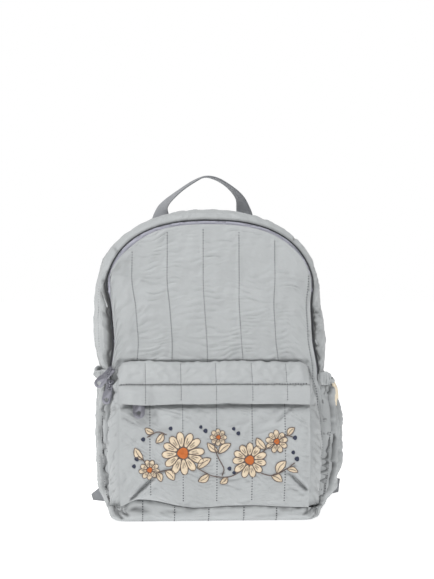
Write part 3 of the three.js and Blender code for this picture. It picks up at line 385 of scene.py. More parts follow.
def cloth_material(name, colour, rough, thread, weave, crinkle, sheen=0.15, spread=0.06):
    """Woven cloth: two crossed bands of thread, soft crinkles and a slight change of tone, over the
    piece's own cloth lengths. Thread is the thread pitch in millimetres."""
    material = bpy.data.materials.new(name)
    material.use_nodes = True
    tree = material.node_tree
    shader = tree.nodes["Principled BSDF"]
    shader.inputs["Roughness"].default_value = rough
    shader.inputs["Sheen Weight"].default_value = sheen
    shader.inputs["Sheen Roughness"].default_value = 0.5
    cloth = node_of(tree, "ShaderNodeUVMap", uv_map="cloth")
    place = node_of(tree, "ShaderNodeTexCoord").outputs["Object"]
    period = 0.314 / (thread * MM)
    warp = node_of(tree, "ShaderNodeTexWave", bands_direction="X", Scale=period, Distortion=0.4)
    weft = node_of(tree, "ShaderNodeTexWave", bands_direction="Y", Scale=period, Distortion=0.4)
    tone = node_of(tree, "ShaderNodeTexNoise", Scale=22, Detail=6, Roughness=0.6)
    crumple = node_of(tree, "ShaderNodeTexNoise", Scale=150, Detail=7, Roughness=0.62, Distortion=0.4)
    slub = node_of(tree, "ShaderNodeTexNoise", Scale=1400, Detail=2)
    for node in (warp, weft):
        tree.links.new(cloth.outputs["UV"], node.inputs["Vector"])
    for node in (tone, crumple, slub):
        tree.links.new(place, node.inputs["Vector"])
    threads = node_of(tree, "ShaderNodeMath", operation="MAXIMUM")
    tree.links.new(warp.outputs["Fac"], threads.inputs[0])
    tree.links.new(weft.outputs["Fac"], threads.inputs[1])
    fine = node_of(tree, "ShaderNodeBump", Strength=weave, Distance=thread * MM * 0.35)
    soft = node_of(tree, "ShaderNodeBump", Strength=crinkle, Distance=0.0012)
    tree.links.new(threads.outputs[0], fine.inputs["Height"])
    tree.links.new(crumple.outputs["Fac"], soft.inputs["Height"])
    tree.links.new(fine.outputs["Normal"], soft.inputs["Normal"])
    tree.links.new(soft.outputs["Normal"], shader.inputs["Normal"])
    mixed = node_of(tree, "ShaderNodeMath", operation="MULTIPLY_ADD")
    mixed.inputs[1].default_value = 0.35
    tree.links.new(slub.outputs["Fac"], mixed.inputs[0])
    tree.links.new(tone.outputs["Fac"], mixed.inputs[2])
    ramp = node_of(tree, "ShaderNodeValToRGB")
    ramp.color_ramp.elements[0].position, ramp.color_ramp.elements[1].position = 0.35, 0.95
    shade = np.array(linear(*colour)[:3])
    ramp.color_ramp.elements[0].color = (*(shade * (1 - spread)), 1)
    ramp.color_ramp.elements[1].color = (*(shade * (1 + spread)), 1)
    tree.links.new(mixed.outputs[0], ramp.inputs["Fac"])
    # Painted shade: the point attribute darkens the base colour where folds, seams and gaps would be shaded.
    painted_shade = node_of(tree, "ShaderNodeAttribute", attribute_name="painted_shade")
    lit = node_of(tree, "ShaderNodeMath", operation="SUBTRACT")
    lit.inputs[0].default_value = 1.0
    shaded = node_of(tree, "ShaderNodeHueSaturation")
    tree.links.new(painted_shade.outputs["Fac"], lit.inputs[1])
    tree.links.new(lit.outputs[0], shaded.inputs["Value"])
    tree.links.new(ramp.outputs["Color"], shaded.inputs["Color"])
    tree.links.new(shaded.outputs["Color"], shader.inputs["Base Color"])
    return material


def row_rise(phase, width, high=0.7):
    """A low rounded rise along each row that fills the sharp bottom between two puffed channels."""
    return high * np.exp(-(np.abs(phase - np.round(phase)) * width / 2.0) ** 2)


def stitches(name, lines, pitch=2.95, long=1.5, radius=0.72, sink=0.04):
    """Rows of stitches: at each pitch along a line of points a short six-sided bead, half as thick as
    wide, pointed at both ends and lying along the line, near-black with painted shade of the needle holes.
    Lines are pairs of points and outward directions."""
    starts, ways, outs = [], [], []
    for line, out in lines:
        run = run_of(line)
        at = np.arange(pitch * 0.6, run[-1] - pitch * 0.3, pitch)
        here = sampled(line, run, at)
        starts.append(here)
        ways.append(sampled(line, run, at + 0.8) - here)
        outs.append(sampled(out, run, at))
    start, way, out = (np.concatenate(part) for part in (starts, ways, outs))
    way /= np.linalg.norm(way, axis=1, keepdims=True) + 1e-12
    side = np.cross(way, out)
    side /= np.linalg.norm(side, axis=1, keepdims=True) + 1e-12
    out = np.cross(side, way)
    angles = np.arange(6) * math.pi / 3
    stations = ((-0.5, 0.0), (-0.32, 0.85), (0.32, 0.85), (0.5, 0.0))
    rings = []
    for share, wide in stations:
        centre = start + way * (share * long) - out * (sink + (1 - wide) * 0.12)
        rings.append(centre[:, None] + radius * wide * (np.cos(angles)[None, :, None] * side[:, None]
                                                       + 0.5 * np.sin(angles)[None, :, None]
                                                        * out[:, None]))
    points = np.stack(rings, 1).reshape(-1, 3)
    faces = repeated(tube_quads(len(stations), 6), len(start), 6 * len(stations))
    piece = mesh_object(name, points, faces.tolist(), None, [stitch_painted_shade])
    finish_mesh(piece)
    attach(piece, "bag")


def tube_quads(stations, sides):
    """Faces of a tube whose rings of points follow one another."""
    first = np.arange(stations - 1)[:, None] * sides
    a, b = ((first + np.roll(np.arange(sides), -k)[None]).ravel() for k in (0, 1))
    return np.stack([a, b, b + sides, a + sides], 1)


def repeated(faces, count, each):
    """The faces of one small form for a count of like ones, each with the same number of points."""
    return (faces[None] + (np.arange(count) * each)[:, None, None]).reshape(-1, 4)


def finish_mesh(piece):
    """Merges points that fall together and turns the faces outwards."""
    work = bmesh.new()
    work.from_mesh(piece.data)
    bmesh.ops.remove_doubles(work, verts=work.verts, dist=1e-6)
    bmesh.ops.recalc_face_normals(work, faces=work.faces)
    work.to_mesh(piece.data)
    work.free()


def spread_columns(keys, spacing, fine=4):
    """Shares across a piece: its edges and stitch lines, with equal steps between, in fours."""
    out = [keys[0]]
    for low, high in zip(keys[:-1], keys[1:]):
        count = fine * max(1, round((high - low) / (spacing * fine)))
        out.extend(np.linspace(low, high, count + 1)[1:])
    return np.array(out)


def fours(count):
    """Shares from 0 to 1 in a count of fours, so that a lining can take every second or fourth one."""
    return np.linspace(0, 1, 4 * count + 1)


def channels(half, rows, spacing):
    """For a piece quilted in rows between two edges: shares across it, the count of rows passed at each,
    and the columns that the rows lie on."""
    keys = [-half] + list(rows) + [half]
    across = spread_columns(keys, spacing) / half
    columns = np.array([np.argmin(np.abs(across - row / half)) for row in rows])
    return across, np.interp(across * half, keys, np.arange(len(keys))), columns


def sewn_down(shape, columns):
    """The points of a grid that don't move: its edges and its rows of stitching."""
    held = np.zeros(shape, bool)
    held[[0, -1]] = held[:, [0, -1]] = held[:, columns] = True
    return held


def rows_of(grid, columns, start, stop, step=1):
    """Lines of points down some columns of a grid, each with its outward directions."""
    normals = normals_of(grid)
    return [(grid[start:stop:step, column], normals[start:stop:step, column]) for column in columns]


def panel_half(z):
    """Half width of the front panel: the seam's less the zip's reveal, wider below the zip's end."""
    seamed = 1 - ease((z / spring_height - zip_share + 0.08) / 0.06)
    wide = half_width(seam_outline, np.minimum(z, spring_height))
    return wide - side_reveal + (side_reveal + rim_padding / 2) * seamed


def front_face(u, z):
    """Depth of the front panel before its ribs, fuller in the middle and thin at the edge."""
    fullness = 3 * (1 - u * u) * np.sin(math.pi * np.minimum(1, z / seam_outline["crown"])) ** 0.5
    stuffed = (padding - rim_padding + fullness) * ease((1 - np.abs(u)) * 6)
    return front_depth + seam_gap + rim_padding + stuffed


nylon = cloth_material("quilted_nylon", (167, 170, 171), 0.56, 0.42, 0.3, 0.6, spread=0.08)
# Painted shade: the stitch beads are near-black to stand for the shade in the needle holes.
stitch_painted_shade = cloth_material("stitch_painted_shade", (50, 53, 58), 0.7, 0.3, 0.2, 0.0, sheen=0.0)

panel_spring = float(panel_half(spring_height))
panel_across, phase, stitch_columns = channels(panel_spring, quilting, cell)
u, v = np.meshgrid(panel_across, fours(26))
panel_top = seam_outline["crown"] - tape_reveal
shoulder = np.where(u < 0, 3.0, 0.9) * np.exp(-((np.abs(u) - 0.8) / 0.17) ** 2)
high = spring_height + (panel_top - spring_height) * arch_rise(u, seam_outline["power"]) - shoulder
z = base_top + (high - base_top) * v
half = np.where(z > spring_height, panel_spring * read(seam_sides, z / spring_height)
                / read(seam_sides, 1.0), panel_half(z))
rib = 0.4 * np.abs(np.sin(math.pi * phase)) * ease((1 - np.abs(u)) * 8) * ease(np.minimum(v, 1 - v) * 12)
front_grid = np.stack([lean(z) + u * half, -front_face(u, z) - 1.3 * rib, z], -1)
front_grid = puffed(front_grid, sewn_down(u.shape, stitch_columns) | (np.abs(u) > 0.985),
                    (0.002, 0, 0.03), 1.2, 11, cap=3)
front_fine = finer(finer(front_grid), axes=(0,))
fine_phase = stretched(phase, front_fine.shape[1])
fine_u = stretched(panel_across, front_fine.shape[1])
fx, fz = front_fine[..., 0], front_fine[..., 2]
rim = ease((1 - np.abs(fine_u)) * 30) * ease((front_fine[-1:, :, 2] - fz) / 4)
front_fine[..., 1] -= rim * (row_rise(fine_phase, channel)
                             + tucks(fine_phase, channel, fz, 71, 0.48, 13, 10)
                             + beside_rows(fine_phase, channel, 2.2)
                             * (wrinkles(fx, fz, 72, 0.85, 15, 2.4) + wrinkles(fx, fz, 73, 0.3, 8, 2.4)))
pressed = ease((178.5 - fz) / 3.5) * ease((107 - np.abs(fx + 1.4)) / 3)
front_fine[..., 1] += 2.6 * pressed
front_lining = np.stack([lean(z) + u * half, -front_face(u, z) + rim_padding + (padding - rim_padding)
                         * ease((1 - np.abs(u)) * 6), z], -1)[::2, ::2]
front_panel = quilt("front_panel_quilted", front_fine, front_lining, nylon)
dress(front_panel, "front_panel")
stitches("front_panel_stitches", rows_of(front_fine, 2 * stitch_columns, 4, -6, 2))


# Main band
# One long quilted strip over both sides and the top, sewn to the zip in front and to the back panel
# behind. Two rows of stitching run along it, and its front edge is gathered into the seam.
side_run = 0.3
band_depth = front_depth + back_depth
band_swell = ((0, 0), (.035, .3), (.09, .62), (.2, .9), (.33, .86), (.5, 1), (.67, .86), (.83, .84),
              (.94, .45), (1, 0))


def outline_point(outline, along):
    """Point of an outline, along from 0 low on the left over the crown to 1 low on the right: straight
    sides, then the superellipse x^n + z^n = 1 by its angle."""
    run = np.where(along < 0.5, along, 1 - along)
    sign = np.where(along < 0.5, -1.0, 1.0)
    angle = math.pi / 2 * np.clip((run - side_run) / (0.5 - side_run), 0, 1)
    power = outline["power"]
    low = base_top + (spring_height - base_top) * run / side_run
    high = spring_height + (outline["crown"] - spring_height) * np.sin(angle) ** (2 / power)
    z = np.where(run < side_run, low, high)
    wide = (outline["half"] * np.maximum(0, np.cos(angle)) ** (2 / power)
            * read(outline["sides"], z / spring_height))
    return lean(z) + sign * np.where(run < side_run, half_width(outline, z), wide), z


def even_steps(outline, low, high, count):
    """Places along an outline with equal lengths between them."""
    dense = np.linspace(low, high, 4000)
    run = summed(np.hypot(*np.diff(np.stack(outline_point(outline, dense)), axis=1)))
    return np.interp(np.linspace(0, run[-1], count), run, dense), run[-1]


def band_point(along, depth, out):
    """Point of the band: between its front and back seams, swollen towards its fullest outline."""
    (fx, fz), (mx, mz), (bx, bz) = (outline_point(o, along)
                                    for o in (seam_outline, band_outline, back_outline))
    x, z = fx + (bx - fx) * depth, fz + (bz - fz) * depth
    return np.stack([x + (mx - (fx + bx) / 2) * out, -front_depth + band_depth * depth,
                     z + (mz - (fz + bz) / 2) * out], -1)


def inward_at(along):
    """Direction into the bag, square to its fullest outline."""
    (x0, z0), (x1, z1) = (outline_point(band_outline, np.clip(along + s, 0, 1)) for s in (-0.004, 0.004))
    run = np.hypot(x1 - x0, z1 - z0)
    return np.stack([(z1 - z0) / run, 0 * run, -(x1 - x0) / run], -1)


def valley(x, z, from_x, from_z, to_x, to_z, deep, wide):
    """A crease from one place to another: the depth times a bell across it, tapered at both ends."""
    long = math.hypot(to_x - from_x, to_z - from_z)
    cx, cz = (to_x - from_x) / long, (to_z - from_z) / long
    at = ((x - from_x) * cx + (z - from_z) * cz) / long
    beside = ((z - from_z) * cx - (x - from_x) * cz) / wide
    return deep * np.exp(-beside ** 2) * ease((at + 0.12) * 5) * ease((1.12 - at) * 3)


def creases(x, z, *rows):
    """Creases over each other: the sum of the valleys that the rows of numbers stand for."""
    return sum(valley(x, z, *row) for row in rows)


band_along, band_length = even_steps(band_outline, 0, 1, 4 * 76 + 1)
band_steps = fours(9) ** 1.15
along, depth = np.meshgrid(band_along, band_steps)
run = np.linspace(0, band_length, len(band_along))[None] + 0 * depth
into = inward_at(along)
near = np.exp(-(depth * band_depth / 13) ** 2)
deep = depth * band_depth
upright = ease((np.abs(along - 0.5) - 0.1) / 0.1)
slanted = run + np.where(along > 0.5, 1, -1) * deep * 1.1
wave = 1.9 * np.abs(waves(slanted, 0.3 * deep, 5, 17)) ** 0.8 - 0.9
gather = (0.5 + 0.5 * upright) * near * ease(depth * 12) * wave
dips = np.minimum(0, waves(run, 0 * run, 6, 20, stretch=0.8))
scallop = (0.35 + 0.65 * upright) * 1.3 * np.exp(-deep / 4) * dips
ripple = waves(run, deep, 8, 26, stretch=5)
fold = 0.9 * upright * np.sin(math.pi * depth) ** 0.7 * ripple - 1.5 * np.sin(math.pi * depth)
inset = (gather - scallop + fold)[..., None]
band_grid = band_point(along, depth, read(band_swell, depth) - 0.02) - into * inset
high = band_grid[..., 2]
left = along < 0.5
rolled = (np.where(left, 4 * (1 - ease((high - 262) / 34)), 1.5 * (1 - ease((high - 236) / 30)))
          * ease((high - 186) / 16))
band_grid[..., 1] -= rolled * deep / 9 * np.exp(1 - deep / 9)
seam_rows = [int(np.argmin(np.abs(band_steps - d))) for d in (0.33, 0.67)]
band_held = np.zeros(depth.shape, bool)
band_held[[0, 1, -1]] = band_held[seam_rows] = band_held[:, [0, -1]] = True
band_held |= band_grid[..., 2] < 60
settled = puffed(band_grid, band_held, (0.004, 0.015, 0.004), 0.6, 12, cap=1.4)
band_grid = band_grid + (settled - band_grid) * ease((band_grid[..., 2:] - 130) / 40)
band_normals = normals_of(band_grid)
band_fine = finer(band_grid)
fine_steps = stretched(band_steps, band_fine.shape[0])
fine_run, fine_deep = np.meshgrid(stretched(run[0], band_fine.shape[1]), fine_steps * band_depth)
fine_phase = np.interp(fine_steps, (0, 0.33, 0.67, 1), (0, 1, 2, 3))[:, None]
rim = ease(fine_deep / 3) * ease((band_depth - fine_deep) / 3)
softer = 0.4 + 0.6 * np.exp(-(fine_deep / 14) ** 2)
bx, bz = band_fine[..., 0], band_fine[..., 2]
creased = creases(bx, bz, (-131, 257, -119, 234, 4.0, 2.0), (-124, 266, -117, 252, 2.6, 1.7),
                  (-120, 276, -116, 262, 2.0, 1.6), (-126, 232, -119, 224, 1.6, 1.8),
                  (109, 235, 117, 229, 2.2, 1.7), (109, 221, 119, 209, 2.2, 1.7),
                  (109, 205, 119, 191, 2.2, 1.7), (110, 190, 118, 177, 2.2, 1.7),
                  (110, 179, 117, 168, 2.4, 1.6), (112, 214, 117, 206, 1.8, 1.4),
                  (-112, 303, -106, 292, 1.8, 1.5), (96, 318, 88, 309, 1.8, 1.5))
band_fine += (normals_of(band_fine)
              * (rim * (tucks(fine_phase, 30, fine_run, 74, 0.25, 7, 9) + beside_rows(fine_phase, 30)
                                              * softer * (wrinkles(fine_deep, fine_run, 75, 0.6, 15)
                                                          + wrinkles(fine_deep, fine_run, 76, 0.3, 8))
                                              - creased * ease((30 - fine_deep) / 10)))[..., None])
lining_thick = (rim_padding + (padding - rim_padding) * ease(np.minimum(depth, 1 - depth) * 6))[..., None]
uneven = 0.75 + 0.25 * waves(fine_run, 0 * fine_run, 9, 9)
# Painted shade: the band is darker beside the zip on each side, along its front seam and in its creases.
zip_gap_shade_left = ((0.6 * np.exp(-(fine_deep / 3) ** 2) + 0.5 * np.exp(-(fine_deep / 7.5) ** 2))
            * ease((bz - 164) / 10) * (1 - ease((bz - 256) / 22)))
zip_gap_shade_right = ((0.75 * np.exp(-(fine_deep / 2.2) ** 2) + 0.25 * np.exp(-(fine_deep / 7) ** 2))
             * ease((bz - 158) / 8) * (1 - ease((bz - 228) / 18)))
band_painted_shade = (np.where(bx < 0, zip_gap_shade_left, zip_gap_shade_right * uneven) + 0.3 * np.exp(-(fine_deep / 1.4) ** 2)
               + 0.15 * creased * ease((30 - fine_deep) / 10))
band_lining = band_point(along, depth, read(band_swell, depth) - 0.02) + into * lining_thick
band_lining[..., 1] -= rolled * deep / 9 * np.exp(1 - deep / 9)
band_lining = band_lining[::2, ::2]
main_band = quilt("main_band_quilted", band_fine, band_lining, nylon, band_painted_shade)
dress(main_band, "main_gusset")
band_rows = [(band_grid[r, 1:-1], band_normals[r, 1:-1]) for r in seam_rows]
stitches("main_band_stitches", band_rows)


# Back panel
# Plain quilted back, stitched in upright rows and sewn to the band and the base.
back_half = float(half_width(back_outline, spring_height))
back_across, phase, back_columns = channels(back_half, (-117, -78, -39, 0, 39, 78, 117), 4.2)
u, v = np.meshgrid(back_across, fours(18))
high = spring_height + (back_outline["crown"] - spring_height) * arch_rise(u, back_outline["power"])
z = base_top + (high - base_top) * v
x = lean(z) + u * half_width(back_outline, np.minimum(z, spring_height))
back_edge = ease((1 - np.abs(u)) * 7) * ease(np.minimum(v, 1 - v) * 7 + 0.15)
back_rib = np.abs(np.sin(math.pi * phase)) ** 0.8
back_face = back_depth + seam_gap + rim_padding + (padding - rim_padding + 1.1 * back_rib) * back_edge
back_grid = np.stack([x, back_face, z], -1)
back_grid = puffed(back_grid, sewn_down(u.shape, back_columns) | (back_edge < 0.3), (0.004, 0, 0.015),
                   0.3, 13, cap=0.9)
back_lining = np.stack([x, back_depth + seam_gap + 0 * x, z], -1)[::2, ::2]
back_panel = quilt("back_panel_quilted", finer(back_grid), back_lining, nylon)
dress(back_panel, "back_panel")
stitches("back_panel_stitches", rows_of(back_grid, back_columns, 2, -2))


# Base
# A quilted tray under the bag, its edge turned up all round. In front it climbs under the pocket, higher
# at the left, where its cloth is pulled into creases at the corners.
base_quilting = (-80.3, -45.4, -7.9, 30.6, 66.6)


def bottom_seam(x):
    """Height of the seam under the pocket: a wave that falls from the left corner to the right."""
    return 17.5 + 8 * ease((-x - 20) / 60) * ease((108 + x) / 22) + 1.2 * np.sin(x / 21)


base_across, phase, base_columns = channels(base_half, base_quilting, cell)
base_deep, base_middle = (base_front + base_back) / 2, (base_back - base_front) / 2


def tray(u, v, wall):
    """The tray set in by a wall: flat in the middle, its edge turned up on a quarter ellipse."""
    curl_x = np.maximum(0, (np.abs(u) * base_half - (base_half - base_curl)) / base_curl)
    curl_y = np.maximum(0, (np.abs(v) * base_deep - (base_deep - base_curl)) / base_curl)
    far = np.maximum(1, np.hypot(curl_x, curl_y))
    curl_x, curl_y = curl_x / far, curl_y / far
    flat_x = np.minimum(np.abs(u) * base_half, base_half - base_curl)
    flat_y = np.minimum(np.abs(v) * base_deep, base_deep - base_curl)
    level = np.maximum(0, 1 - (curl_x ** 2 + curl_y ** 2) ** 1.4) ** (1 / 2.8)
    x = np.sign(u) * (flat_x + curl_x * (base_curl - wall))
    y = base_middle + np.sign(v) * (flat_y + curl_y * (base_curl - wall))
    rise = wall + (base_rise - wall) * (1 - level)
    front = ease((-v - 0.6) / 0.35)
    rise = rise + front * (1 - level) ** 1.5 * (bottom_seam(x) - 0.6 - base_rise)
    return np.stack([x, y, rise], -1), curl_y * (v < 0), level


base_rows = np.concatenate([-1 + 0.34 * np.linspace(0, 1, 17) ** 1.4, np.linspace(-0.66, 0.66, 25)[1:],
                            1 - 0.34 * np.linspace(1, 0, 13)[1:] ** 1.4])
u, v = np.meshgrid(base_across, base_rows)
base_grid, front_curl, level = tray(u, v, 0)
x, z = base_grid[..., 0], base_grid[..., 2]
upright = front_curl * ease(1.4 - level)
rib = 1.2 * np.abs(np.sin(math.pi * phase)) ** 0.8 * upright
crease = creases(x, z, (-108, 13, -70, 13, 1.6, 2.0), (-60, 10, -20, 12, 0.8, 2.4),
                 (60, 11, 104, 13, 1.2, 2.2), (-104, 5, -84, 1, 1.2, 2))
corner = ease((np.abs(x) - 92) / 16) * upright
base_grid[..., 1] += (crease * upright - rib + 0.9 * corner * waves(x, z, 31, 8))
base_grid[..., 2] += 0.5 * corner * waves(x + 40, z, 32, 9) * (z > 4)
base_grid[..., 2] = np.maximum(base_grid[..., 2], 0)
base_lining = tray(u, v, rim_padding + 1)[0][::2, ::2]
base_fine = finer(base_grid)
fine_phase = stretched(phase, base_fine.shape[1])
fine_upright = finer(upright)
x, z = base_fine[..., 0], base_fine[..., 2]
corner = ease((np.abs(x) - 88) / 18) * fine_upright
creased = creases(x, z, (-107, 17, -74, 13.5, 3.2, 1.6), (-112, 14, -101, 3, 4.6, 1.7),
                  (-113, 18, -95, 8, 4.6, 1.7), (-60, 12, -22, 13, 1.4, 1.8),
                  (115, 19, 99, 13, 4.2, 1.7), (112, 13, 96, 9, 3.6, 1.5), (113, 8, 103, 2, 3.4, 1.5),
                  (94, 15, 70, 13, 1.8, 1.6), (70, 8, 40, 6, 1.0, 2.0), (20, 13, -2, 10, 0.9, 1.8))
base_fine[..., 1] += fine_upright * (creased - tucks(fine_phase, 36, z * 2, 77, 0.8, 9, 7) + 0.4
                                     - beside_rows(fine_phase, 36) * wrinkles(x, z, 78, 0.9, 8))
base_fine[..., 1] += 1.6 * corner * np.abs(waves(x * 1.2, z, 79, 7)) ** 0.8
base_fine[..., 2] = np.maximum(base_fine[..., 2], 0)
# Painted shade in the base's creases and along the seam under the pocket.
base_painted_shade = fine_upright * (0.17 * creased + 0.5 * np.exp(-((bottom_seam(x) - 0.6 - z) / 1.4) ** 2)
                              * (0.7 + 0.3 * waves(x, 0 * x, 33, 9)))
base_panel = quilt("base_panel_quilted", base_fine, base_lining, nylon, base_painted_shade)
dress(base_panel, "base_panel")
stitches("base_panel_stitches", rows_of(base_grid, base_columns, 0, 14))


# Main zip
# A lavender-grey tape sewn behind the front panel's edge and a dark spiral zip beside the band, over the
# arch from one side to the other.
zip_start = side_run * ((zip_end - base_top) / (spring_height - base_top))


def zip_place(along, inset, depth):
    """Place set in from the band's front seam, square to it, at a depth in front of the middle."""
    (x0, z0), (x1, z1) = (outline_point(seam_outline, along + s) for s in (-0.004, 0.004))
    x, z = outline_point(seam_outline, along)
    run = np.hypot(x1 - x0, z1 - z0)
    return np.stack([x + (z1 - z0) / run * inset, -depth + 0 * x, z - (x1 - x0) / run * inset], -1)


def reveal_at(along):
    """How far the front panel's edge lies in from the seam: more at the crown than on the sides."""
    above = outline_point(seam_outline, along)[1] - spring_height
    share = ease(above / (seam_outline["crown"] - spring_height))
    return side_reveal + (tape_reveal - side_reveal) * share


def swept(name, rings, material):
    """A closed tube through rings of points, capped at both ends, with cloth lengths along and round it."""
    count, sides = rings.shape[:2]
    faces = tube_quads(count, sides).tolist()
    faces += [list(range(sides))[::-1], list(range((count - 1) * sides, count * sides))]
    across, up = lengths_of(rings)
    uv = np.stack(np.meshgrid(across, up), -1).reshape(-1, 2)
    piece = mesh_object(name, rings.reshape(-1, 3), faces, uv, [material])
    finish_mesh(piece)
    return piece


tape_cloth = cloth_material("zip_tape_cloth", (204, 204, 217), 0.7, 0.5, 0.5, 0.15)
# Near-black: the spiral's own dark tone, also standing as painted shade for the gap between band and tape.
coil_and_gap_shade = cloth_material("zip_coil_and_gap_shade", (34, 35, 40), 0.45, 0.4, 0.0, 0.0, sheen=0.0)
tape_along, tape_length = even_steps(seam_outline, zip_start, 1 - zip_start, 4 * 60 + 1)
inset, along = np.meshgrid(np.linspace(1.2, 9.6, 5), tape_along, indexing="ij")
tape_run = np.linspace(0, tape_length, len(tape_along))[None] + 0 * inset
tape_depth = front_depth - seam_gap + 0.25 * waves(tape_run, inset, 41, 18, stretch=0.5)
tape_grid = zip_place(along, inset, tape_depth)
tape_back = zip_place(along, inset, tape_depth - 0.8)
main_tape = quilt("main_zip_tape_woven", tape_grid, tape_back, tape_cloth)
dress(main_tape, "main_zip_tape")


def coil(name, centres, outs, radius, pitch, material):
    """A spiral zip: a closed tube whose width swells once for each tooth, flattened along its own depth."""
    run = run_of(centres)
    at = np.arange(0, run[-1], pitch / 3)
    place, out = sampled(centres, run, at), sampled(outs, run, at)
    out /= np.linalg.norm(out, axis=1, keepdims=True)
    swell = radius * (1 - 0.22 * np.cos(2 * math.pi * at / pitch) ** 2)
    angle = np.arange(8) * math.pi / 4
    rings = place[:, None] + swell[:, None, None] * (np.cos(angle)[None, :, None] * out[:, None]
                                                    + np.sin(angle)[None, :, None] * np.array([0, 1.0, 0]))
    return swept(name, rings, material)


coil_depth = front_depth + 1.3 + seam_gap
coil_line = zip_place(tape_along, reveal_at(tape_along) * 0.32, coil_depth + 0 * tape_along)
main_coil = coil("main_zip_spiral", coil_line, zip_place(tape_along, 0 * tape_along, coil_depth)
                 - coil_line,
                 0.85, 1.6, coil_and_gap_shade)
dress(main_coil, "main_zip_coil")


# Front pocket
# A quilted pocket sewn on the front: a full lower face, a row above it that slopes back to the front
# panel, a folded flap over its zip, and a band down each side.
pocket_half, pocket_middle = 105.2, -1.4
upper_seam, flap_low, lower_top, pocket_high = 151.0, 130.0, 133.0, 176.0
pocket_top_depth, pocket_slope, flap_thick, flap_swell = 55.8, 19.5, 3.0, 9.7
face_depth = pocket_top_depth + pocket_slope
pull_x, flap_room, gusset_deep = -84.5, 3.4, 26
pocket_fullness = ((.13, 1), (.25, 1.055), (.46, 1.085), (.7, 1.05), (.85, 1.005), (1, .97))
lower_quilting = (-72.5, -36.6, 0.5, 39.4, 75.7)
upper_quilting = (-77.3, -38.3, 0.3, 40.1, 78.3)


def pocket_depth(z):
    """Depth of the pocket's face at a height."""
    return base_front * read(pocket_fullness, z / lower_top)


def pocket_x(u, z):
    """Place across the pocket's face, a little narrower near the base."""
    return pocket_middle + u * pocket_half * (1 - 0.02 * ease(1 - z / (lower_top * 0.6)))


lower_across, phase, lower_columns = channels(pocket_half, [x - pocket_middle for x in lower_quilting], 2.6)
u, v = np.meshgrid(lower_across, fours(11))
low = bottom_seam(pocket_middle + u * pocket_half)
z = low + (lower_top - low) * v
x = pocket_x(u, z)
face_edge = ease((1 - np.abs(u)) * 12) * ease(np.minimum(v, 1 - v) * 14 + 0.1)
rib = 0.9 * np.abs(np.sin(math.pi * phase)) ** 0.9 * face_edge
crease = creases(x, z, (-97, 27, -66, 54, 1.5, 3.6), (-66, 54, -46, 60, 1.4, 4),
                 (-92, 33, -58, 30, -1.6, 6), (101, 33, 80, 53, 1.4, 3.4), (80, 53, 62, 60, 1.2, 4),
                 (-104, 100, -70, 84, 1.2, 5), (-66, 110, -30, 88, 1.3, 5), (88, 118, 40, 104, 1.1, 5),
                 (66, 126, 52, 104, 1.0, 4), (-24, 126, 10, 116, 0.9, 5), (-88, 66, -104, 76, 0.9, 4),
                 (70, 30, 96, 26, 1.0, 3.4), (-40, 34, 6, 26, 0.9, 4), (24, 38, 60, 26, 0.9, 4))
face_grid = np.stack([x, -pocket_depth(z) - rib + crease * face_edge, z], -1)
face_grid = puffed(face_grid, sewn_down(u.shape, lower_columns), (0.002, 0, 0.022), 1.0, 14, cap=3)
face_fine = finer(finer(face_grid), axes=(0,))
fine_phase = stretched(phase, face_fine.shape[1])
fx, fz = face_fine[..., 0], face_fine[..., 2]
rim = (ease((pocket_half - np.abs(fx - pocket_middle)) / 5) * ease((lower_top - fz) / 3)
       * ease((fz - bottom_seam(fx)) / 3))
face_fine[..., 1] -= rim * (row_rise(fine_phase, face_channel)
                            + tucks(fine_phase, face_channel, fz, 81, 0.48, 12, 10)
                            + beside_rows(fine_phase, face_channel, 2.2)
                            * (wrinkles(fx, fz + 0.35 * fx, 82, 0.9, 15, 2.2)
                               + wrinkles(fx, fz, 83, 0.3, 8, 2.2)))
creased = creases(fx, fz, (-93, 26.6, -70, 49, 4.6, 1.6), (-90, 20, -62, 24, 1.6, 2),
                  (-70, 49, -52, 62, 1.6, 3), (99, 36, 81, 53.5, 4.4, 1.6), (81, 53.5, 66, 64, 1.5, 3),
                  (96, 30, 78, 40, 1.6, 2.2), (-102, 116, -84, 104, 1.6, 2.2),
                  (-70, 128, -62, 112, 1.3, 2), (84, 127, 66, 108, 1.6, 2.2),
                  (70, 104, 40, 96, 1.4, 2.4), (38, 110, 12, 104, 1.0, 2.4),
                  (-64, 108, -40, 90, 1.3, 2.4))
ridged = creases(fx, fz, (-89, 23, -66, 45.5, 2.4, 2.4), (102, 40.5, 84, 58, 2.0, 2.4),
                 (-97, 30, -73, 53, 1.4, 3.0))
face_fine[..., 1] += rim * (creased - ridged) + 4.5 * ease((fz - 124.5) / 5)
face_lining = np.stack([x, -pocket_depth(z) + padding, z], -1)[::2, ::2]
# Painted shade in the deepest creases of the pocket's face.
pocket_face = quilt("pocket_face_quilted", face_fine, face_lining, nylon,
                    0.11 * rim * np.maximum(0, creased - 0.8))
dress(pocket_face, "pocket_front_panel")
stitches("pocket_face_stitches", rows_of(face_fine, 2 * lower_columns, 8, -4, 2))

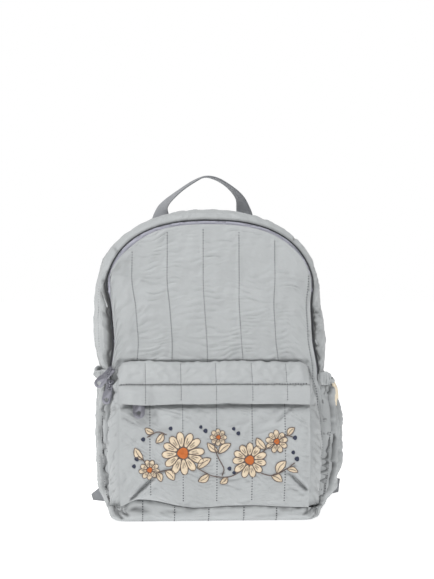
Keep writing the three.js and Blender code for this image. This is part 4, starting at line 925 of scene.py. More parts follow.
upper_across, phase, upper_columns = channels(pocket_half, [x - pocket_middle for x in upper_quilting], 2.6)
u, v = np.meshgrid(upper_across, fours(4))
corner_round = 11.0
corner_share = np.clip((np.abs(u) * pocket_half - (pocket_half - corner_round)) / corner_round, 0, 0.97)
drop = corner_round * (1 - np.sqrt(1 - corner_share ** 2))
x = pocket_middle + u * pocket_half
z = upper_seam + (pocket_high - drop + 0.7 * np.sin(x / 17) - upper_seam) * v
y = face_depth - pocket_slope * v
edge = np.sin(math.pi * v) ** 0.6 * ease((1 - np.abs(u)) * 12)
rib = 2.6 * (0.5 + 0.5 * np.abs(np.sin(math.pi * phase)) ** 0.8) * edge
crease = creases(x, z, (-96, 168, -86, 153, 1.0, 3), (90, 170, 76, 153, 1.3, 3.2),
                 (64, 174, 46, 156, 1.0, 4), (-60, 173, -48, 158, 0.9, 4),
                 (14, 172, 30, 158, 0.8, 4)) * edge
top_grid = np.stack([x, -y - (rib - crease) * 0.79, z + (rib - crease) * 0.61], -1)
top_grid = puffed(top_grid, sewn_down(u.shape, upper_columns), (0.012, 0, 0.02), 1.0, 15, cap=2.5)
top_grid[..., 1] += 2.2 * ease((v - 0.86) / 0.14)
top_fine = finer(top_grid)
fine_phase = stretched(phase, top_fine.shape[1])
fine_edge = finer(edge)
fx, fz = top_fine[..., 0], top_fine[..., 2]
top_fine[..., 1] -= fine_edge * (tucks(fine_phase, channel, fz * 1.3, 84, 0.4, 12, 8)
                                 + beside_rows(fine_phase, channel)
                                * wrinkles(fx, fz, 85, 0.5, 11))
top_fine[..., 2] -= 0.35 * ease((fz - 171) / 5) * (1 + waves(fx, 0 * fx, 86, 10))
top_lining = np.stack([x, -y, z - padding], -1)[::2, ::2]
pocket_top = quilt("pocket_top_quilted", top_fine, top_lining, nylon)
dress(pocket_top, "pocket_upper_panel")

u, v = np.meshgrid(upper_across, fours(3))
x = pocket_middle + u * pocket_half
flap_top = upper_seam + seam_gap
sag = 0.5 * np.sin(x / 26 + 1) + 0.35 * np.sin(x / 9)
z = flap_top - (flap_top - flap_low - sag) * v
over_pull = np.exp(-((x - pull_x) / 13) ** 4)
swell = ((flap_room + (flap_swell - flap_room) * over_pull) * ease(v * 2.6)
         - 1.2 * (1 - over_pull) * ease((v - 0.7) / 0.3))
bend = ease(np.minimum(v, 1 - v) * 5 + 0.2) * ease((1 - np.abs(u)) * 16)
flap_rib = 0.8 * np.abs(np.sin(math.pi * phase)) ** 0.7 * bend
flap_soft = 0.3 * waves(x, z, 43, 15, stretch=2) * bend
flap_grid = np.stack([x, -(face_depth + seam_gap + swell + flap_thick * (0.1 + 0.7 * ease(v * 5))
                           + flap_rib + flap_soft), z], -1)
flap_back = np.stack([x, -(face_depth + seam_gap + swell), z], -1)
flap_fine = finer(flap_grid)
fine_bend = finer(bend)
fx, fz = flap_fine[..., 0], flap_fine[..., 2]
flap_fine[..., 1] -= fine_bend * (tucks(fine_phase, channel, fz, 87, 0.35, 8, 8)
                                  + beside_rows(fine_phase, channel)
                                  * wrinkles(fx, fz, 88, 0.3, 9)
                                  + 0.3 * ease((fz - 146) / 4) * waves(fx, 0 * fx, 89, 5))
fine_v = np.linspace(0, 1, flap_fine.shape[0])[:, None] + 0 * fx
# Painted shade in a wavy line along the flap's top edge, under the stitched ridge.
flap_painted_shade = 0.6 * np.exp(-((fine_v * 20 - 0.4 - 0.3 * waves(fx, 0 * fx, 90, 6)) / 0.8) ** 2)
pocket_flap = quilt("pocket_flap_folded", flap_fine, flap_back[::2, ::2], nylon, flap_painted_shade)
dress(pocket_flap, "pocket_flap")
rows = rows_of(top_fine, 2 * upper_columns, 2, -2) + rows_of(flap_fine, 2 * upper_columns, 2, -2)
ridge_z = 0 * upper_across + upper_seam + 0.55 + 0.2 * np.sin(upper_across * 40)
ridge = np.stack([pocket_middle + upper_across * (pocket_half - 1), 0 * upper_across - face_depth - 1.35,
                  ridge_z], -1)
rows.append((ridge, np.tile([0, -1.0, 0], (len(ridge), 1))))
stitches("pocket_top_stitches", rows)

for side, name, seed in ((-1, "left", 51), (1, "right", 52)):
    v, w = np.meshgrid(fours(13), fours(3), indexing="ij")
    z = base_top + (pocket_high - 9 + 3 - base_top) * v
    seat_rows = ((.105, .985), (.296, .995), (.506, 1.02), (.678, 1), (.792, .965), (.916, .93),
                 (1.059, .9))
    face_x = np.abs(pocket_x(side, z) - side * 0.6)
    seat_x = np.abs(lean(z) + side * seam_outline["half"] * read(seat_rows, z / zip_end))
    slope = face_depth - pocket_slope * (z + padding - upper_seam) / (pocket_high - 10 - upper_seam)
    front = np.minimum(pocket_depth(np.minimum(z, lower_top)) - padding, slope) - seam_gap - 0.3
    back = front_face(0.85, z) + 1.2 + seam_gap
    hump = np.sin(math.pi * w) ** 0.7 * 4 * ease((1 - v) * 3)
    folds = (0.8 * waves(z + gusset_deep * w * 0.6, w * gusset_deep, seed, 24, stretch=0.6)
             * np.sin(math.pi * w))
    across = face_x + (seat_x - face_x) * w + hump - folds
    y = -(front + (back - front) * w)
    gusset_grid = np.stack([side * across, y, z], -1)
    gusset_lining = np.stack([side * (face_x + (seat_x - face_x) * w + hump - rim_padding - 1.6), y, z], -1)
    gusset_fine = finer(gusset_grid)
    fine_w, fine_v = np.meshgrid(np.linspace(0, 1, gusset_fine.shape[1]),
                                 np.linspace(0, 1, gusset_fine.shape[0]))
    rim = np.sin(math.pi * fine_w) ** 0.7 * ease((1 - fine_v) * 12)
    slanted = gusset_fine[..., 2] + fine_w * gusset_deep * (1.3 - 1.6 * fine_v)
    wide_wave, small_wave = (waves(slanted, fine_w * deep, seed + k, long)
                             for deep, k, long in ((12, 7, 17), (gusset_deep, 8, 7)))
    gusset_fine[..., 0] += side * rim * (1.0 * np.abs(wide_wave) ** 0.8 - 0.6
                                         + 0.35 * np.abs(small_wave) ** 0.8)
    # Painted shade in the fold valleys and along the seam against the front panel.
    gusset_painted_shade = (0.4 * rim * np.exp(-(wide_wave / 0.16) ** 2)
                     + 0.45 * np.exp(-((1 - fine_w) * gusset_deep / 2.4) ** 2))
    gusset = quilt("pocket_side_quilted_" + name, gusset_fine, gusset_lining[::2, ::2], nylon,
                   gusset_painted_shade)
    dress(gusset, "pocket_gusset_" + name)
    seam_row = int(0.84 * (gusset_fine.shape[1] - 1))
    stitches("pocket_side_stitches_" + name, rows_of(gusset_fine, [seam_row], 2, -2))

tape_front = face_depth - 0.8
zip_height = (lower_top + upper_seam - padding) / 2
tape_low, tape_high, tape_half = lower_top + seam_gap, upper_seam - padding - seam_gap, pocket_half - 4
u, v = np.meshgrid(np.linspace(-1, 1, 4 * 20 + 1), np.linspace(0, 1, 5))
x, z = pocket_middle + u * tape_half, tape_low + (tape_high - tape_low) * v
strip = np.stack([x, -tape_front + 0.1 * waves(x, z, 44, 16), z], -1)
pocket_tape = quilt("pocket_zip_tape_woven", strip, strip + [0, 0.8, 0], tape_cloth)
dress(pocket_tape, "pocket_zip_tape")
coil_x = np.linspace(pull_x + 5.9, pocket_middle + pocket_half - 6, 60)
coil_line = np.stack([coil_x, 0 * coil_x - (tape_front + 1.3 + seam_gap), 0 * coil_x + zip_height], -1)
pocket_coil = coil("pocket_zip_spiral", coil_line, np.tile([0, 0, 1.0], (60, 1)), 1.25, 1.6, coil_and_gap_shade)
dress(pocket_coil, "pocket_zip_coil")


# Embroidery
# A spray of daisies, leaves and berries sewn in thread on the pocket's face: raised satin stitch in
# cream, outlined in taupe, with orange hearts and navy berries.
cream_thread = cloth_material("embroidery_cream", (231, 212, 184), 0.5, 0.55, 0.9, 0.3, sheen=0.2,
                              spread=0.05)
taupe_thread = cloth_material("embroidery_taupe", (98, 84, 78), 0.6, 0.5, 0.8, 0.1, sheen=0.0)
orange_thread = cloth_material("embroidery_orange", (196, 104, 38), 0.5, 0.5, 0.9, 0.2, sheen=0.1,
                               spread=0.12)
navy_thread = cloth_material("embroidery_navy", (44, 50, 72), 0.5, 0.5, 0.9, 0.2, sheen=0.05)
face_rows = np.linspace(0, 1, face_fine.shape[0])
face_columns = stretched(lower_across, face_fine.shape[1])


def on_face(x, z):
    """Depth of the pocket's puffed face at places on it, between the four nearest points of its grid."""
    column = np.interp((x - pocket_middle) / pocket_half, face_columns, np.arange(len(face_columns)))
    low = bottom_seam(x)
    row = np.interp((z - low) / (lower_top - low), face_rows, np.arange(len(face_rows)))
    c = np.minimum(column.astype(int), len(face_columns) - 2)
    r = np.minimum(row.astype(int), len(face_rows) - 2)
    a, b = column - c, row - r
    y = face_fine[..., 1]
    return ((y[r, c] * (1 - a) + y[r, c + 1] * a) * (1 - b) + (y[r + 1, c] * (1 - a) + y[r + 1, c + 1] * a)
            * b)


def satin(name, shapes, material, lift):
    """Filled stitchery: each shape is a ring of points in x and z, filled from its middle by rings, and
    raised over the face by the lift times the root of 1 - share^4; its back lies under the cloth."""
    shapes = np.asarray(shapes)
    sides = shapes.shape[1]
    shares = np.array([0.25, 0.5, 0.7, 0.85, 0.95, 1.0, 1.0, 0.3])
    rise = np.append(lift * np.sqrt(1 - shares[:6] ** 4) + [0.1, 0.1, 0.1, 0.1, 0.1, 0.05], [-0.6, -0.6])
    middle = shapes.mean(1, keepdims=True)
    rings = middle[:, None] + (shapes - middle)[:, None] * shares[None, :, None, None]
    y = on_face(rings[..., 0], rings[..., 1]) - rise[None, :, None]
    points = np.stack([rings[..., 0], y, rings[..., 1]], -1).reshape(-1, 3)
    ring = np.arange(sides)
    each = sides * len(shares)
    faces = repeated(tube_quads(len(shares), sides), len(shapes), each).tolist()
    for k in range(len(shapes)):
        faces += [(ring[::-1] + k * each).tolist(), (ring + k * each + each - sides).tolist()]
    local = np.linspace(0, 1, len(shares))[None, :, None] * 6 + 0 * rings[..., 0]
    turn = (np.arange(sides) / sides)[None, None] * 30 + 0 * rings[..., 0]
    piece = mesh_object(name, points, faces, np.stack([turn, local], -1).reshape(-1, 2), [material])
    finish_mesh(piece)
    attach(piece, "bag")
    return piece


def thread_lines(name, lines, material, radius=0.4):
    """Thread laid along lines of x and z places on the face: six-sided tubes, pointed at both ends."""
    points, faces = [], []
    for line in lines:
        line = np.asarray(line, float)
        run = summed(np.hypot(*np.diff(line, axis=0).T))
        at = np.linspace(0, run[-1], max(4, int(run[-1] / 1.1)))
        x, z = sampled(line, run, at).T
        centre = np.stack([x, on_face(x, z) - 0.35 - radius * 0.5, z], 1)
        way = np.gradient(centre, axis=0)
        way /= np.linalg.norm(way, axis=1, keepdims=True) + 1e-12
        side = np.cross(way, [0, -1.0, 0])
        side /= np.linalg.norm(side, axis=1, keepdims=True) + 1e-12
        up = np.cross(side, way)
        thick = radius * np.minimum(1, 0.35 + np.minimum(at, run[-1] - at) * 1.5)[:, None, None]
        angle = np.arange(6) * math.pi / 3
        ring = centre[:, None] + thick * (np.cos(angle)[None, :, None] * side[:, None]
                                          + np.sin(angle)[None, :, None] * up[:, None])
        base = sum(len(p) for p in points)
        faces += (tube_quads(len(at), 6) + base).tolist()
        faces += [(np.arange(6)[::-1] + base).tolist(), (np.arange(6) + base + (len(at) - 1) * 6).tolist()]
        points.append(ring.reshape(-1, 3))
    piece = mesh_object(name, np.concatenate(points), faces, None, [material])
    finish_mesh(piece)
    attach(piece, "bag")
    return piece


def petal(x, z, turn, near, far, wide, sides=20):
    """Ring of a petal round a heart: an ellipse from near to far, wider towards its rounded tip."""
    t = np.arange(sides) * 2 * math.pi / sides
    a = (near + far) / 2 + (far - near) / 2 * np.cos(t)
    b = wide / 2 * np.sin(t) * (1 + 0.28 * np.cos(t))
    return np.stack([x + a * math.cos(turn) - b * math.sin(turn), z + a * math.sin(turn)
                     + b * math.cos(turn)], 1)


def leaf(x0, z0, x1, z1, wide, sides=20):
    """Ring of a leaf between two points: an ellipse narrowed towards both ends, bent a little."""
    t = np.arange(sides) * 2 * math.pi / sides
    a = 0.5 - 0.5 * np.cos(t)
    b = (wide / 2 * np.sin(t) * np.sin(math.pi * np.clip(a, 0.02, 0.98)) ** 0.4
         + wide * 0.18 * np.sin(math.pi * a))
    dx, dz = x1 - x0, z1 - z0
    long = math.hypot(dx, dz)
    return np.stack([x0 + dx * a - dz / long * b, z0 + dz * a + dx / long * b], 1)


def arc(points, count=40):
    """A smooth line through a few places: the sum of Catmull and Rom's cubic pieces."""
    p = np.asarray(points, float)
    p = np.concatenate([[2 * p[0] - p[1]], p, [2 * p[-1] - p[-2]]])
    t = np.linspace(0, len(p) - 3 - 1e-9, count)
    k = t.astype(int)
    s = (t - k)[:, None]
    a, b, c, d = (p[k + n] for n in range(4))
    return 0.5 * (2 * b + (c - a) * s + (2 * a - 5 * b + 4 * c - d) * s ** 2
                  + (3 * b - a - 3 * c + d) * s ** 3)


daisies = ((-37, 77, 23.5, 12, 0.1), (36, 69, 19.5, 11, 0.35), (66, 89, 12.5, 9, 0.2),
           (-73, 59, 11.5, 9, 0.5),
           (2, 94, 9.5, 8, 0.0))
stems = (((-86, 74), (-80, 70), (-73, 59), (-62, 57), (-48, 60)), ((-20, 60), (-4, 52), (14, 51), (28, 58)),
         ((2, 94), (-2, 84), (2, 72), (8, 60), (6, 52)), ((50, 78), (58, 83), (66, 89), (76, 95), (84, 94)),
         ((48, 55), (60, 52), (72, 56), (86, 66)), ((-54, 97), (-64, 100), (-76, 94)))
leaves = ((-21, 60, -6, 71, 9), (-8, 54, -20, 46, 8), (12, 51, 4, 43.5, 7), (2, 76, 16, 87, 8),
          (2, 78, -10, 88, 7),
          (60, 52, 72, 45, 8.5), (66, 54, 76, 68, 9.5), (77, 59, 89, 56, 6), (-56, 58, -46, 47.5, 9),
          (-66, 56.5, -60, 46, 7),
          (-80, 70, -89, 83, 8), (-58, 99, -66, 88, 7.5), (-68, 99, -78, 104, 6.5), (54, 81, 44, 93, 8.5),
          (78, 95, 86, 104, 6.5))
berries = ((-87, 71, 2.6), (-90, 63, 2.2), (-80, 92, 2.4), (14, 60, 2.3), (19, 55.5, 2.0), (86, 93, 2.5),
           (88, 70, 2.6),
           (84, 77, 2.1), (24, 98, 2.3), (19, 103, 2.0), (-12, 101, 2.4), (-17, 105, 1.9),
           (-50, 103.5, 2.2))
rng = np.random.default_rng(91)
petals, hearts, veins, outlines = [], [], [], []
for x, z, reach, count, turn in daisies:
    for k in range(count):
        way = turn + 2 * math.pi * k / count + rng.uniform(-0.05, 0.05)
        long = reach * rng.uniform(0.93, 1.03)
        petals.append(petal(x, z, way, reach * 0.26, long, 2 * math.pi * reach * 0.66 / count * 0.96))
        outlines.append(np.concatenate([petals[-1], petals[-1][:1]]))
        for bend in (-0.09, 0.09):
            shares = np.linspace(0.42, rng.uniform(0.62, 0.78), 6)[:, None] * reach
            angles = way + bend * 8 / count * np.linspace(1, 1.5, 6)[:, None]
            veins.append(np.concatenate([x + shares * np.cos(angles), z + shares * np.sin(angles)], 1))
    hearts.append(petal(x, z, 0, -reach * 0.27, reach * 0.27, reach * 0.54))
    outlines.append(np.concatenate([hearts[-1], hearts[-1][:1]]))
leaf_rings = [leaf(*row) for row in leaves]
for ring, (x0, z0, x1, z1, wide) in zip(leaf_rings, leaves):
    outlines.append(np.concatenate([ring, ring[:1]]))
    spine = arc(((x0, z0), ((x0 + x1) / 2 - (z1 - z0) * wide * 0.18 / math.hypot(x1 - x0, z1 - z0),
                            (z0 + z1) / 2 + (x1 - x0) * wide * 0.18 / math.hypot(x1 - x0, z1 - z0)),
                 (x1, z1)), 14)
    veins.append(spine[:-2])
berry_rings = [petal(x, z, 0, -r, r, 2 * r) for x, z, r in berries]
pieces = [satin("embroidered_petals", petals, cream_thread, 0.75),
          satin("embroidered_leaves", leaf_rings, cream_thread, 0.6),
          satin("embroidered_hearts", hearts, orange_thread, 1.1),
          satin("embroidered_berries", berry_rings, navy_thread, 0.8),
          thread_lines("embroidered_outlines", outlines, taupe_thread, 0.42),
          thread_lines("embroidered_stems", [arc(s) for s in stems], taupe_thread, 0.55)]
veined = thread_lines("embroidered_veins", veins, taupe_thread, 0.3)
veined.data.vertices.foreach_set("co", (np.array([v.co for v in veined.data.vertices])
                                        - [0, 0.0005, 0]).ravel())


# Side pouches
# A quilted pouch on each side, sewn in at the front and back seams and gathered under an elastic band at
# its top; the right one is pulled into long upright folds.
pouch_top, pouch_wall = 166.0, 3.0
pouch_front, pouch_back = 43.5, 44.5
pouch_deep = pouch_front + pouch_back
gather_deep = 0.9
pouch_fullness = ((0, .35), (.1, .8), (.3, 1), (.62, .97), (.82, .72), (.93, .5), (1, .32))
band_table = ((0, 0), (.07, .52), (.2, .88), (.33, .86), (.5, 1), (.67, .86), (.83, .84), (.94, .45),
              (1, 0))


def band_surface(z, depth):
    """Half width of the band behind a pouch, from its front seam to its back seam."""
    front, middle, back = (half_width(o, z) for o in (seam_outline, band_outline, back_outline))
    return front + (back - front) * depth + (middle - (front + back) / 2) * read(band_table, depth)


def pouch_point(side, full, z, share, clearance):
    """Place on a pouch's outer face: the band behind it, a clearance, and the pouch's own fullness."""
    y = -pouch_front + pouch_deep * share
    seated = band_surface(z, (y + front_depth) / band_depth) + clearance
    fullness = (read(pouch_fullness, (z - base_top) / (pouch_top - base_top))
                * np.sin(math.pi * share) ** 0.45)
    swell = np.maximum(0, full - half_width(band_outline, spring_height * 0.4) - clearance) * fullness
    tucked = (clearance - 1.0) * np.exp(-(y + pouch_front) / 3.5)
    return side * (seated + swell - tucked) + lean(z), y


pouch_clear = gather_deep + seam_gap + 0.3 + pouch_wall
pouch_share = (1 - np.cos(math.pi * fours(12))) / 2
pouch_stitch = [6, 16, 28, 40]
hem_low, right_full = 1.5, 147.0


def rows_run(x, y):
    """Distance along each row of places, from its first one."""
    steps = np.hypot(np.diff(x, axis=1), np.diff(y, axis=1))
    return np.concatenate([0 * x[:, :1], np.cumsum(steps, axis=1)], 1)


def pouch_skin(side, full, z, share):
    """Outer face of a pouch; below the base's rim it turns under the bag on a quarter ellipse."""
    x, y = pouch_point(side, full, np.maximum(z, base_top), share, pouch_clear)
    turn_up = 38.0 if side < 0 else 24.0
    under = np.clip((turn_up - z) / turn_up, 0, 1)
    return x - side * (np.abs(x) - 104) * (1 - np.sqrt(1 - under ** 2)), y


pouch_sides = ((-1, "left", 131.5, 61, 166.0, 11.0), (1, "right", right_full, 62, 162.5, 14.5))
for side, name, full, seed, hem, hem_high in pouch_sides:
    top = hem - hem_high - seam_gap
    v = np.concatenate([np.linspace(0, 0.1, 9), np.linspace(0.1, 1, 4 * 12 + 1)[1:]])
    share, v = np.meshgrid(pouch_share, v)
    z = hem_low + (top - hem_low) * v
    x, y = pouch_skin(side, full, z, share)
    ends = np.sin(math.pi * share) ** 0.6
    run = share * pouch_deep
    arc_run = rows_run(x, y)
    pleat = np.abs(waves(z, arc_run, seed, 9, stretch=3, fan=1.2))
    gathers = 2.2 * ends * ease((v - 0.6) / 0.4) * (1.2 - pleat ** 0.7)
    phase = np.interp(np.arange(len(pouch_share)), [0] + pouch_stitch + [48], np.arange(6))
    rib = 0.9 * (1 - np.abs(np.sin(math.pi * phase)) ** 0.8) * ends * (0.4 if side > 0 else 1)
    pouch_grid = np.stack([x, y, z], -1)
    pouch_grid -= normals_of(pouch_grid) * (gathers + rib)[..., None]
    pouch_grid = puffed(pouch_grid, sewn_down(share.shape, pouch_stitch) | (z < base_top),
                        (0.015, 0.02, 0.02), 0.6, seed + 8, cap=1.6)
    pouch_fine = finer(pouch_grid)
    fine_phase = stretched(phase, pouch_fine.shape[1])
    fx, fy, fz = np.abs(pouch_fine[..., 0]), pouch_fine[..., 1], pouch_fine[..., 2]
    fine_run = fy + pouch_front
    rim = ease(np.minimum(fine_run, pouch_deep - fine_run) / 2) * ease((top - fz) / 3) * ease((fz - 1) / 6)
    front = ease((34 - fine_run) / 12) * rim
    if side > 0:
        creased = creases(fx, fz, (136, 92, 131, 62, 7.5, 1.8), (135, 60, 128.5, 28, 7.0, 1.7),
                          (121, 149, 126, 120, 5.0, 1.4), (131, 148, 122, 114, 5.5, 1.6),
                          (139, 140, 137, 104, 3.5, 1.5), (126, 104, 124, 66, 4.0, 1.3),
                          (142, 74, 138, 40, 3.0, 1.5))
    else:
        creased = creases(fx, fz, (127, 70, 123, 28, 2.6, 1.6), (130, 118, 128, 84, 1.5, 1.8),
                          (131, 50, 126, 22, 1.6, 1.6), (126, 104, 131, 78, 1.2, 1.8))
    fine_arc = finer(arc_run)
    deep = (rim * ((1.6 if side > 0 else 0.8) * waves(fz, fine_arc, seed + 3, 14, stretch=4, fan=1.2) - 0.4
                   - tucks(fine_phase, 22, fz, seed + 20, 0.6, 9, 8) - beside_rows(fine_phase, 22)
                   * wrinkles(fine_arc, fz, seed + 22, 0.6, 11)) + front * creased)
    pouch_fine -= normals_of(pouch_fine) * deep[..., None]
    pouch_fine[..., 1] += (4.5 * np.exp(-(fine_run / 3) ** 2)
                           * (0.6 + 0.4 * waves(fz, 0 * fz, seed + 30, 12)) * ease(fz / 20))
    pouch_fine[..., 2] = np.maximum(pouch_fine[..., 2], 0.2)
    lining_x = np.minimum(np.abs(x) - pouch_wall + 0.6 * gather_deep, np.abs(pouch_fine[::2, ::2, 0]) - 1.0)
    lining = np.stack([side * lining_x, y, z], -1)[::2, ::2]
    # Painted shade: in the creases, in the valleys of the gathers near the top and in a line along the front
    # seam.
    fine_pleat = finer((pleat + 4 * (1 - ease((v - 0.62) / 0.3))))
    pouch_painted_shade = (0.15 * np.maximum(0, front * creased) + 0.45 * rim * np.exp(-(fine_pleat / 0.22) ** 2)
                    + 0.8 * np.exp(-(fine_run / 5.5) ** 2)
                    * (0.75 + 0.25 * waves(fz, 0 * fz, seed + 30, 12)))
    pouch = quilt("side_pouch_quilted_" + name, pouch_fine, lining, nylon, pouch_painted_shade)
    dress(pouch, "side_pocket_" + name)
    stitches("side_pouch_stitches_" + name, rows_of(pouch_fine, 2 * np.array(pouch_stitch), 20, -3))

    share, v = np.meshgrid((1 - np.cos(math.pi * fours(22))) / 2, fours(3))
    z = hem - hem_high * (1 - v)
    x, y = pouch_point(side, full, np.minimum(z, pouch_top), share, pouch_clear)
    run = share * pouch_deep
    ends = ease(np.minimum(run, pouch_deep - run) / 3)
    roll = 1.6 * np.sin(math.pi * v) ** 0.5
    arc_run = rows_run(x, y)
    ruched = np.abs(waves(z, arc_run, seed + 11, 5.5, stretch=4, fan=1.0))
    ruche = ends * 1.5 * (0.9 - ruched ** 0.8)
    z = z + ends * (1.3 * waves(run, 0 * run, seed + 12, 26) - 0.8) * v * 0.8
    z = z - v * (7.5 if side > 0 else 2.0) * ease((run - 4) / 9) * ease((pouch_deep - run - 4) / 9)
    band_ring = np.stack([x, y, z], -1)
    band_ring += (normals_of(band_ring)
                  * (roll - 0.6 - ruche * (0.35 + 0.65 * np.sin(math.pi * v) ** 0.3))[..., None])
    band_inner = np.stack([x - side * (pouch_wall - gather_deep), y, z], -1)
    # Painted shade in the valleys of the ruching.
    band_painted_shade = finer(0.55 * ends * np.exp(-(ruched / 0.25) ** 2))
    elastic = quilt("side_pouch_band_gathered_" + name, finer(band_ring), band_inner[::2, ::2], nylon,
                    band_painted_shade)
    dress(elastic, "side_pocket_band_" + name)


# Side label
# A blank strip of cream cotton tape, sewn under the band of the right pouch and hanging down its outside.
label_cotton = cloth_material("label_cotton", (240, 226, 200), 0.85, 0.5, 0.7, 0.1, sheen=0.05)
label_width, label_long, label_thick, label_lift = 15.0, 29.0, 1.2, 1.1
u, v = np.meshgrid(np.linspace(0, 1, 9), np.linspace(0, 1, 17))
label_top = 152.5
z = label_top - label_long * v
x, y = pouch_point(1, right_full, label_top - 17 * v, 0.2 + label_width / pouch_deep * u, pouch_clear)
curl = (3.2 * u * (0.3 + 0.7 * ease(v * 3)) - 1.4 * v + 0.5 * ease(v) * np.sin(math.pi * u)
        + 0.3 * np.sin(v * 5))
label_grid = np.stack([x + label_lift + label_thick + curl, y, z], -1)
side_label = quilt("side_label_woven", label_grid, (label_grid - [label_thick, 0, 0])[::4, ::4],
                   label_cotton)
dress(side_label, "side_label")


# Zip sliders and pulls, and the strap adjusters
# Cast metal sliders and pulls, painted grey to match the cloth, and moulded ladder locks: the solids
# themselves with softened edges.


def softened(node, name, material, body, width, segments=2):
    """A copy of a solid whose sharp edges are bevelled."""
    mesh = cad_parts[node].data.copy()
    mesh.materials.clear()
    mesh.materials.append(material)
    piece = bpy.data.objects.new(name, mesh)
    bpy.context.scene.collection.objects.link(piece)
    finish_mesh(piece)
    mesh.polygons.foreach_set("use_smooth", [True] * len(mesh.polygons))
    bevel = piece.modifiers.new("bevel", "BEVEL")
    bevel.width, bevel.segments, bevel.angle_limit = width * MM, segments, math.radians(35)
    bevel.harden_normals = True
    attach(piece, body)
    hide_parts(node)
    return piece


def moulded(name, colour, rough, metallic, coat=0.0):
    """Smooth painted metal or plastic: one colour with faint mottling and fine scratches in its gloss."""
    material = bpy.data.materials.new(name)
    material.use_nodes = True
    tree = material.node_tree
    shader = tree.nodes["Principled BSDF"]
    shader.inputs["Metallic"].default_value = metallic
    shader.inputs["Coat Weight"].default_value = coat
    place = node_of(tree, "ShaderNodeTexCoord").outputs["Object"]
    grime = node_of(tree, "ShaderNodeTexNoise", Scale=260, Detail=5)
    scuff = node_of(tree, "ShaderNodeTexNoise", Scale=900, Detail=3)
    gloss = node_of(tree, "ShaderNodeMapRange")
    gloss.inputs["To Min"].default_value, gloss.inputs["To Max"].default_value = rough - 0.1, rough + 0.12
    tone = node_of(tree, "ShaderNodeValToRGB")
    shade = np.array(linear(*colour)[:3])
    for element, share in zip(tone.color_ramp.elements, (0.92, 1.06)):
        element.color = (*(shade * share), 1)
    bump = node_of(tree, "ShaderNodeBump", Strength=0.15, Distance=0.0001)
    for node in (grime, scuff):
        tree.links.new(place, node.inputs["Vector"])
    tree.links.new(grime.outputs["Fac"], tone.inputs["Fac"])
    tree.links.new(tone.outputs["Color"], shader.inputs["Base Color"])
    tree.links.new(scuff.outputs["Fac"], gloss.inputs["Value"])
    tree.links.new(gloss.outputs["Result"], shader.inputs["Roughness"])
    tree.links.new(scuff.outputs["Fac"], bump.inputs["Height"])
    tree.links.new(bump.outputs["Normal"], shader.inputs["Normal"])
    return material


zip_metal = moulded("zip_metal_painted", (134, 134, 142), 0.3, 0.85)
buckle_plastic = moulded("adjuster_plastic_moulded", (140, 142, 146), 0.45, 0.0)
hardware = (("main_slider_upper", "bag"), ("main_slider_lower", "bag"), ("pocket_slider", "bag"),
            ("main_pull_upper", "upper_pull"), ("main_pull_lower", "lower_pull"),
            ("pocket_pull", "front_pull"))
for node, body in hardware:
    softened(node, node + "_cast", zip_metal, body, 0.28)
for name in ("left", "right"):
    softened("strap_adjuster_" + name, "strap_adjuster_moulded_" + name, buckle_plastic, "bag",
             0.6)


# Handle, shoulder straps and webbing
# A carry handle of ribbed webbing sewn behind the crown, two padded straps on the back, and their lower
# webbing to folded tabs at the corners of the base.
webbing = cloth_material("ribbed_webbing", (148, 150, 154), 0.75, 1.1, 1.0, 0.1, sheen=0.1, spread=0.08)
handle_rows = ((-.473, -.64, 87, .015), (-.45, -.42, 80, .09), (-.431, -.14, 60, .17),
               (-.405, .14, 30, .125),
               (-.28, .54, 11, .05), (-.13, .88, 7, -.05), (-.042, 1, 2, -.1), (.053, .95, -3, -.1),
               (.176, .71, -8, -.05),
               (.275, .36, -26, .05), (.309, -.02, -55, .16), (.328, -.35, -80, .13),
               (.347, -.62, -87, .015))


def smooth_path(points, count):
    """Points of a centripetal spline through given ones, at even shares of its length."""
    points = np.asarray(points, float)
    full = np.concatenate([[2 * points[0] - points[1]], points, [2 * points[-1] - points[-2]]])
    knots = summed(np.linalg.norm(np.diff(full[:, :3], axis=0), axis=1) ** 0.5)
    fine = np.linspace(knots[1], knots[-2], 1200)
    row = np.clip(np.searchsorted(knots, fine, side="right") - 1, 1, len(points) - 1)
    t0, t1, t2, t3 = (knots[row + k][:, None] for k in (-1, 0, 1, 2))
    p0, p1, p2, p3 = (full[row + k] for k in (-1, 0, 1, 2))
    t = fine[:, None]
    a1, a2, a3 = ((q * (tb - t) + r * (t - ta)) / (tb - ta) for q, r, ta,
                  tb in ((p0, p1, t0, t1), (p1, p2, t1, t2), (p2, p3, t2, t3)))
    b1, b2 = (a1 * (t2 - t) + a2 * (t - t0)) / (t2 - t0), (a2 * (t3 - t) + a3 * (t - t1)) / (t3 - t1)
    line = (b1 * (t2 - t) + b2 * (t - t1)) / (t2 - t1)
    run = run_of(line[:, :3])
    return sampled(line, run, np.linspace(0, run[-1], count))


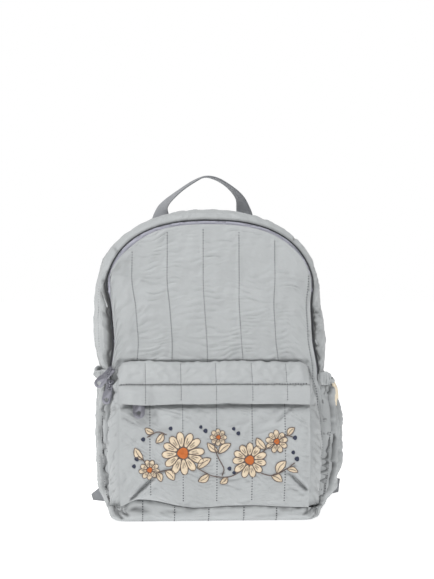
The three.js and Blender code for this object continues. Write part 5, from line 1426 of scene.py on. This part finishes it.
def ribbon(name, path, turns, width, thick, material, ribs=0, level=False):
    """A flat strap along a path: its width is turned from depth towards the path's own side, its section
    is a rounded slab with lengthwise ribs."""
    along = np.gradient(path, axis=0)
    along /= np.linalg.norm(along, axis=1, keepdims=True)
    if level:
        across = np.tile([1.0, 0, 0], (len(path), 1))
    else:
        side = np.cross(along, [0, 1.0, 0])
        side /= np.linalg.norm(side, axis=1, keepdims=True)
        flat = np.cross(side, along)
        turn = np.radians(turns)[:, None]
        across = flat * np.cos(turn) + side * np.sin(turn)
    up = np.cross(across, along)
    up /= np.linalg.norm(up, axis=1, keepdims=True)
    s = np.linspace(-1, 1, 13)
    lift = (1 - np.abs(s) ** 6) ** 0.5 * (1 + (0.16 * np.cos(s * ribs * math.pi) if ribs else 0))
    ring = np.concatenate([np.stack([s, -lift], 1), np.stack([s[::-1][1:-1], lift[::-1][1:-1]], 1)])
    rings = (path[:, None] + across[:, None] * ring[None, :, :1] * width / 2
             + up[:, None] * ring[None, :, 1:] * thick / 2)
    piece = swept(name, rings, material)
    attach(piece, "bag")
    return piece


foot_depth = (back_depth + seam_gap + rim_padding + (padding - rim_padding + 1.5)
              * ease(min(0.5, 0.035) * 7 + 0.15) + 1.4)
handle_points = [(a * band_outline["half"], foot_depth + b * 20, band_outline["crown"] + 39 * r, t) for a,
                 r, t, b in handle_rows]
handle_path = smooth_path(handle_points, 121)
carry_handle = ribbon("carry_handle_webbing", handle_path[:, :3], handle_path[:, 3], 20, 2.0, webbing,
                      ribs=5)
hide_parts("carry_handle")

back_face_deep = back_depth + seam_gap + padding + 1.5
back_side, back_crown, strap_lift = back_outline["half"], back_outline["crown"], 5
strap_table = ((.92, .296, -.028), (.89, .304, .109), (.83, .336, .304), (.72, .4, .457), (.58, .472, .478),
               (.47, .544, .391), (.4, .6, .261))
for side, name in ((-1, "left"), (1, "right")):
    points = [(side * a * back_side + lean(h * back_crown), back_face_deep + b * back_depth + strap_lift,
               h * back_crown)
              for h, a, b in strap_table]
    path = smooth_path(points, 81)
    tangent = np.gradient(path, axis=0)
    tangent /= np.linalg.norm(tangent, axis=1, keepdims=True)
    up = np.cross([1.0, 0, 0], tangent)
    up *= np.sign(up[:, 1:2])
    up /= np.linalg.norm(up, axis=1, keepdims=True)
    up[[0, -1]] = (0, 1, 0)
    angle = np.linspace(0, 2 * math.pi, 33)[:-1]
    a, b = np.sign(np.cos(angle)) * np.abs(np.cos(angle)) ** 0.45, np.sin(angle)
    b = np.sign(b) * np.abs(b) ** 0.8
    run = np.linspace(0, 1, len(path))
    squeeze = 0.62 + 0.38 * ease(np.minimum(run, 1 - run) * 14)
    seam = 1 - 0.25 * np.exp(-((np.abs(a) - 0.8) / 0.06) ** 2)
    rings = (path[:, None] + np.array([1.0, 0, 0]) * (a * 23)[None, :, None]
             + up[:, None] * (b * seam * 5)[None, :, None] * squeeze[:, None, None])
    strap = swept("shoulder_strap_padded_" + name, rings, nylon)
    dress(strap, "shoulder_strap_" + name)

    end_height = 0.4 * back_crown - seam_gap - 26 - seam_gap
    start = np.array([side * 0.6 * back_side, back_face_deep + 0.261 * back_depth + strap_lift, end_height])
    anchor_deep = float(back_depth + seam_gap + rim_padding + (padding - rim_padding + 1.5 * 0.56)
                        * ease(0.11 * 7) * ease(0.08 * 7 + 0.15) + seam_gap)
    end = np.array([side * 121, anchor_deep + 2.2 + seam_gap + 1, base_rise + 8])
    rows = ((1, 0), (.66, .28), (.33, .62), (0, 1))
    points = [(start[0] + (end[0] - start[0]) * a, start[1] + (end[1] - start[1]) * a, end[2]
               + (start[2] - end[2]) * h)
              for h, a in rows]
    lower = ribbon("strap_webbing_woven_" + name, smooth_path(points, 41), None, 20, 1.9, webbing, ribs=5,
                   level=True)
    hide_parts("strap_webbing_" + name)

    seat_x = float(half_width(back_outline, base_rise + 8)) - 13
    tip = 0 if side < 0 else 16.0
    corners = np.array([[seat_x, 5.5], [136.5 + tip, 9.0 + 0.45 * tip], [138.5 + tip, 16.0 + tip],
                        [seat_x, 41.5]])
    s, t = np.meshgrid(np.linspace(0, 1, 17), np.linspace(0, 1, 17))
    flat = ((1 - s)[..., None] * (1 - t)[..., None] * corners[0]
            + s[..., None] * (1 - t)[..., None] * corners[1]
            + s[..., None] * t[..., None] * corners[2] + (1 - s)[..., None] * t[..., None] * corners[3])
    rim = ease(np.minimum(np.minimum(s, 1 - s), np.minimum(t, 1 - t)) * 12)
    hem = 0.3 * np.exp(-((np.minimum(t, 1 - t) - 0.12) / 0.03) ** 2)
    ribbed = 0.12 * np.cos(t * 9 * math.pi)
    tab_grid = np.stack([side * flat[..., 0], anchor_deep + 2.2 - 0.5 * (1 - rim) - hem + ribbed * rim
                         - 0.15, flat[..., 1]], -1)
    tab_lining = np.stack([side * flat[..., 0], anchor_deep + 0.5 * (1 - rim), flat[..., 1]], -1)[::4, ::4]
    tab = quilt("strap_anchor_folded_" + name, tab_grid, tab_lining, webbing)
    dress(tab, "strap_anchor_" + name)
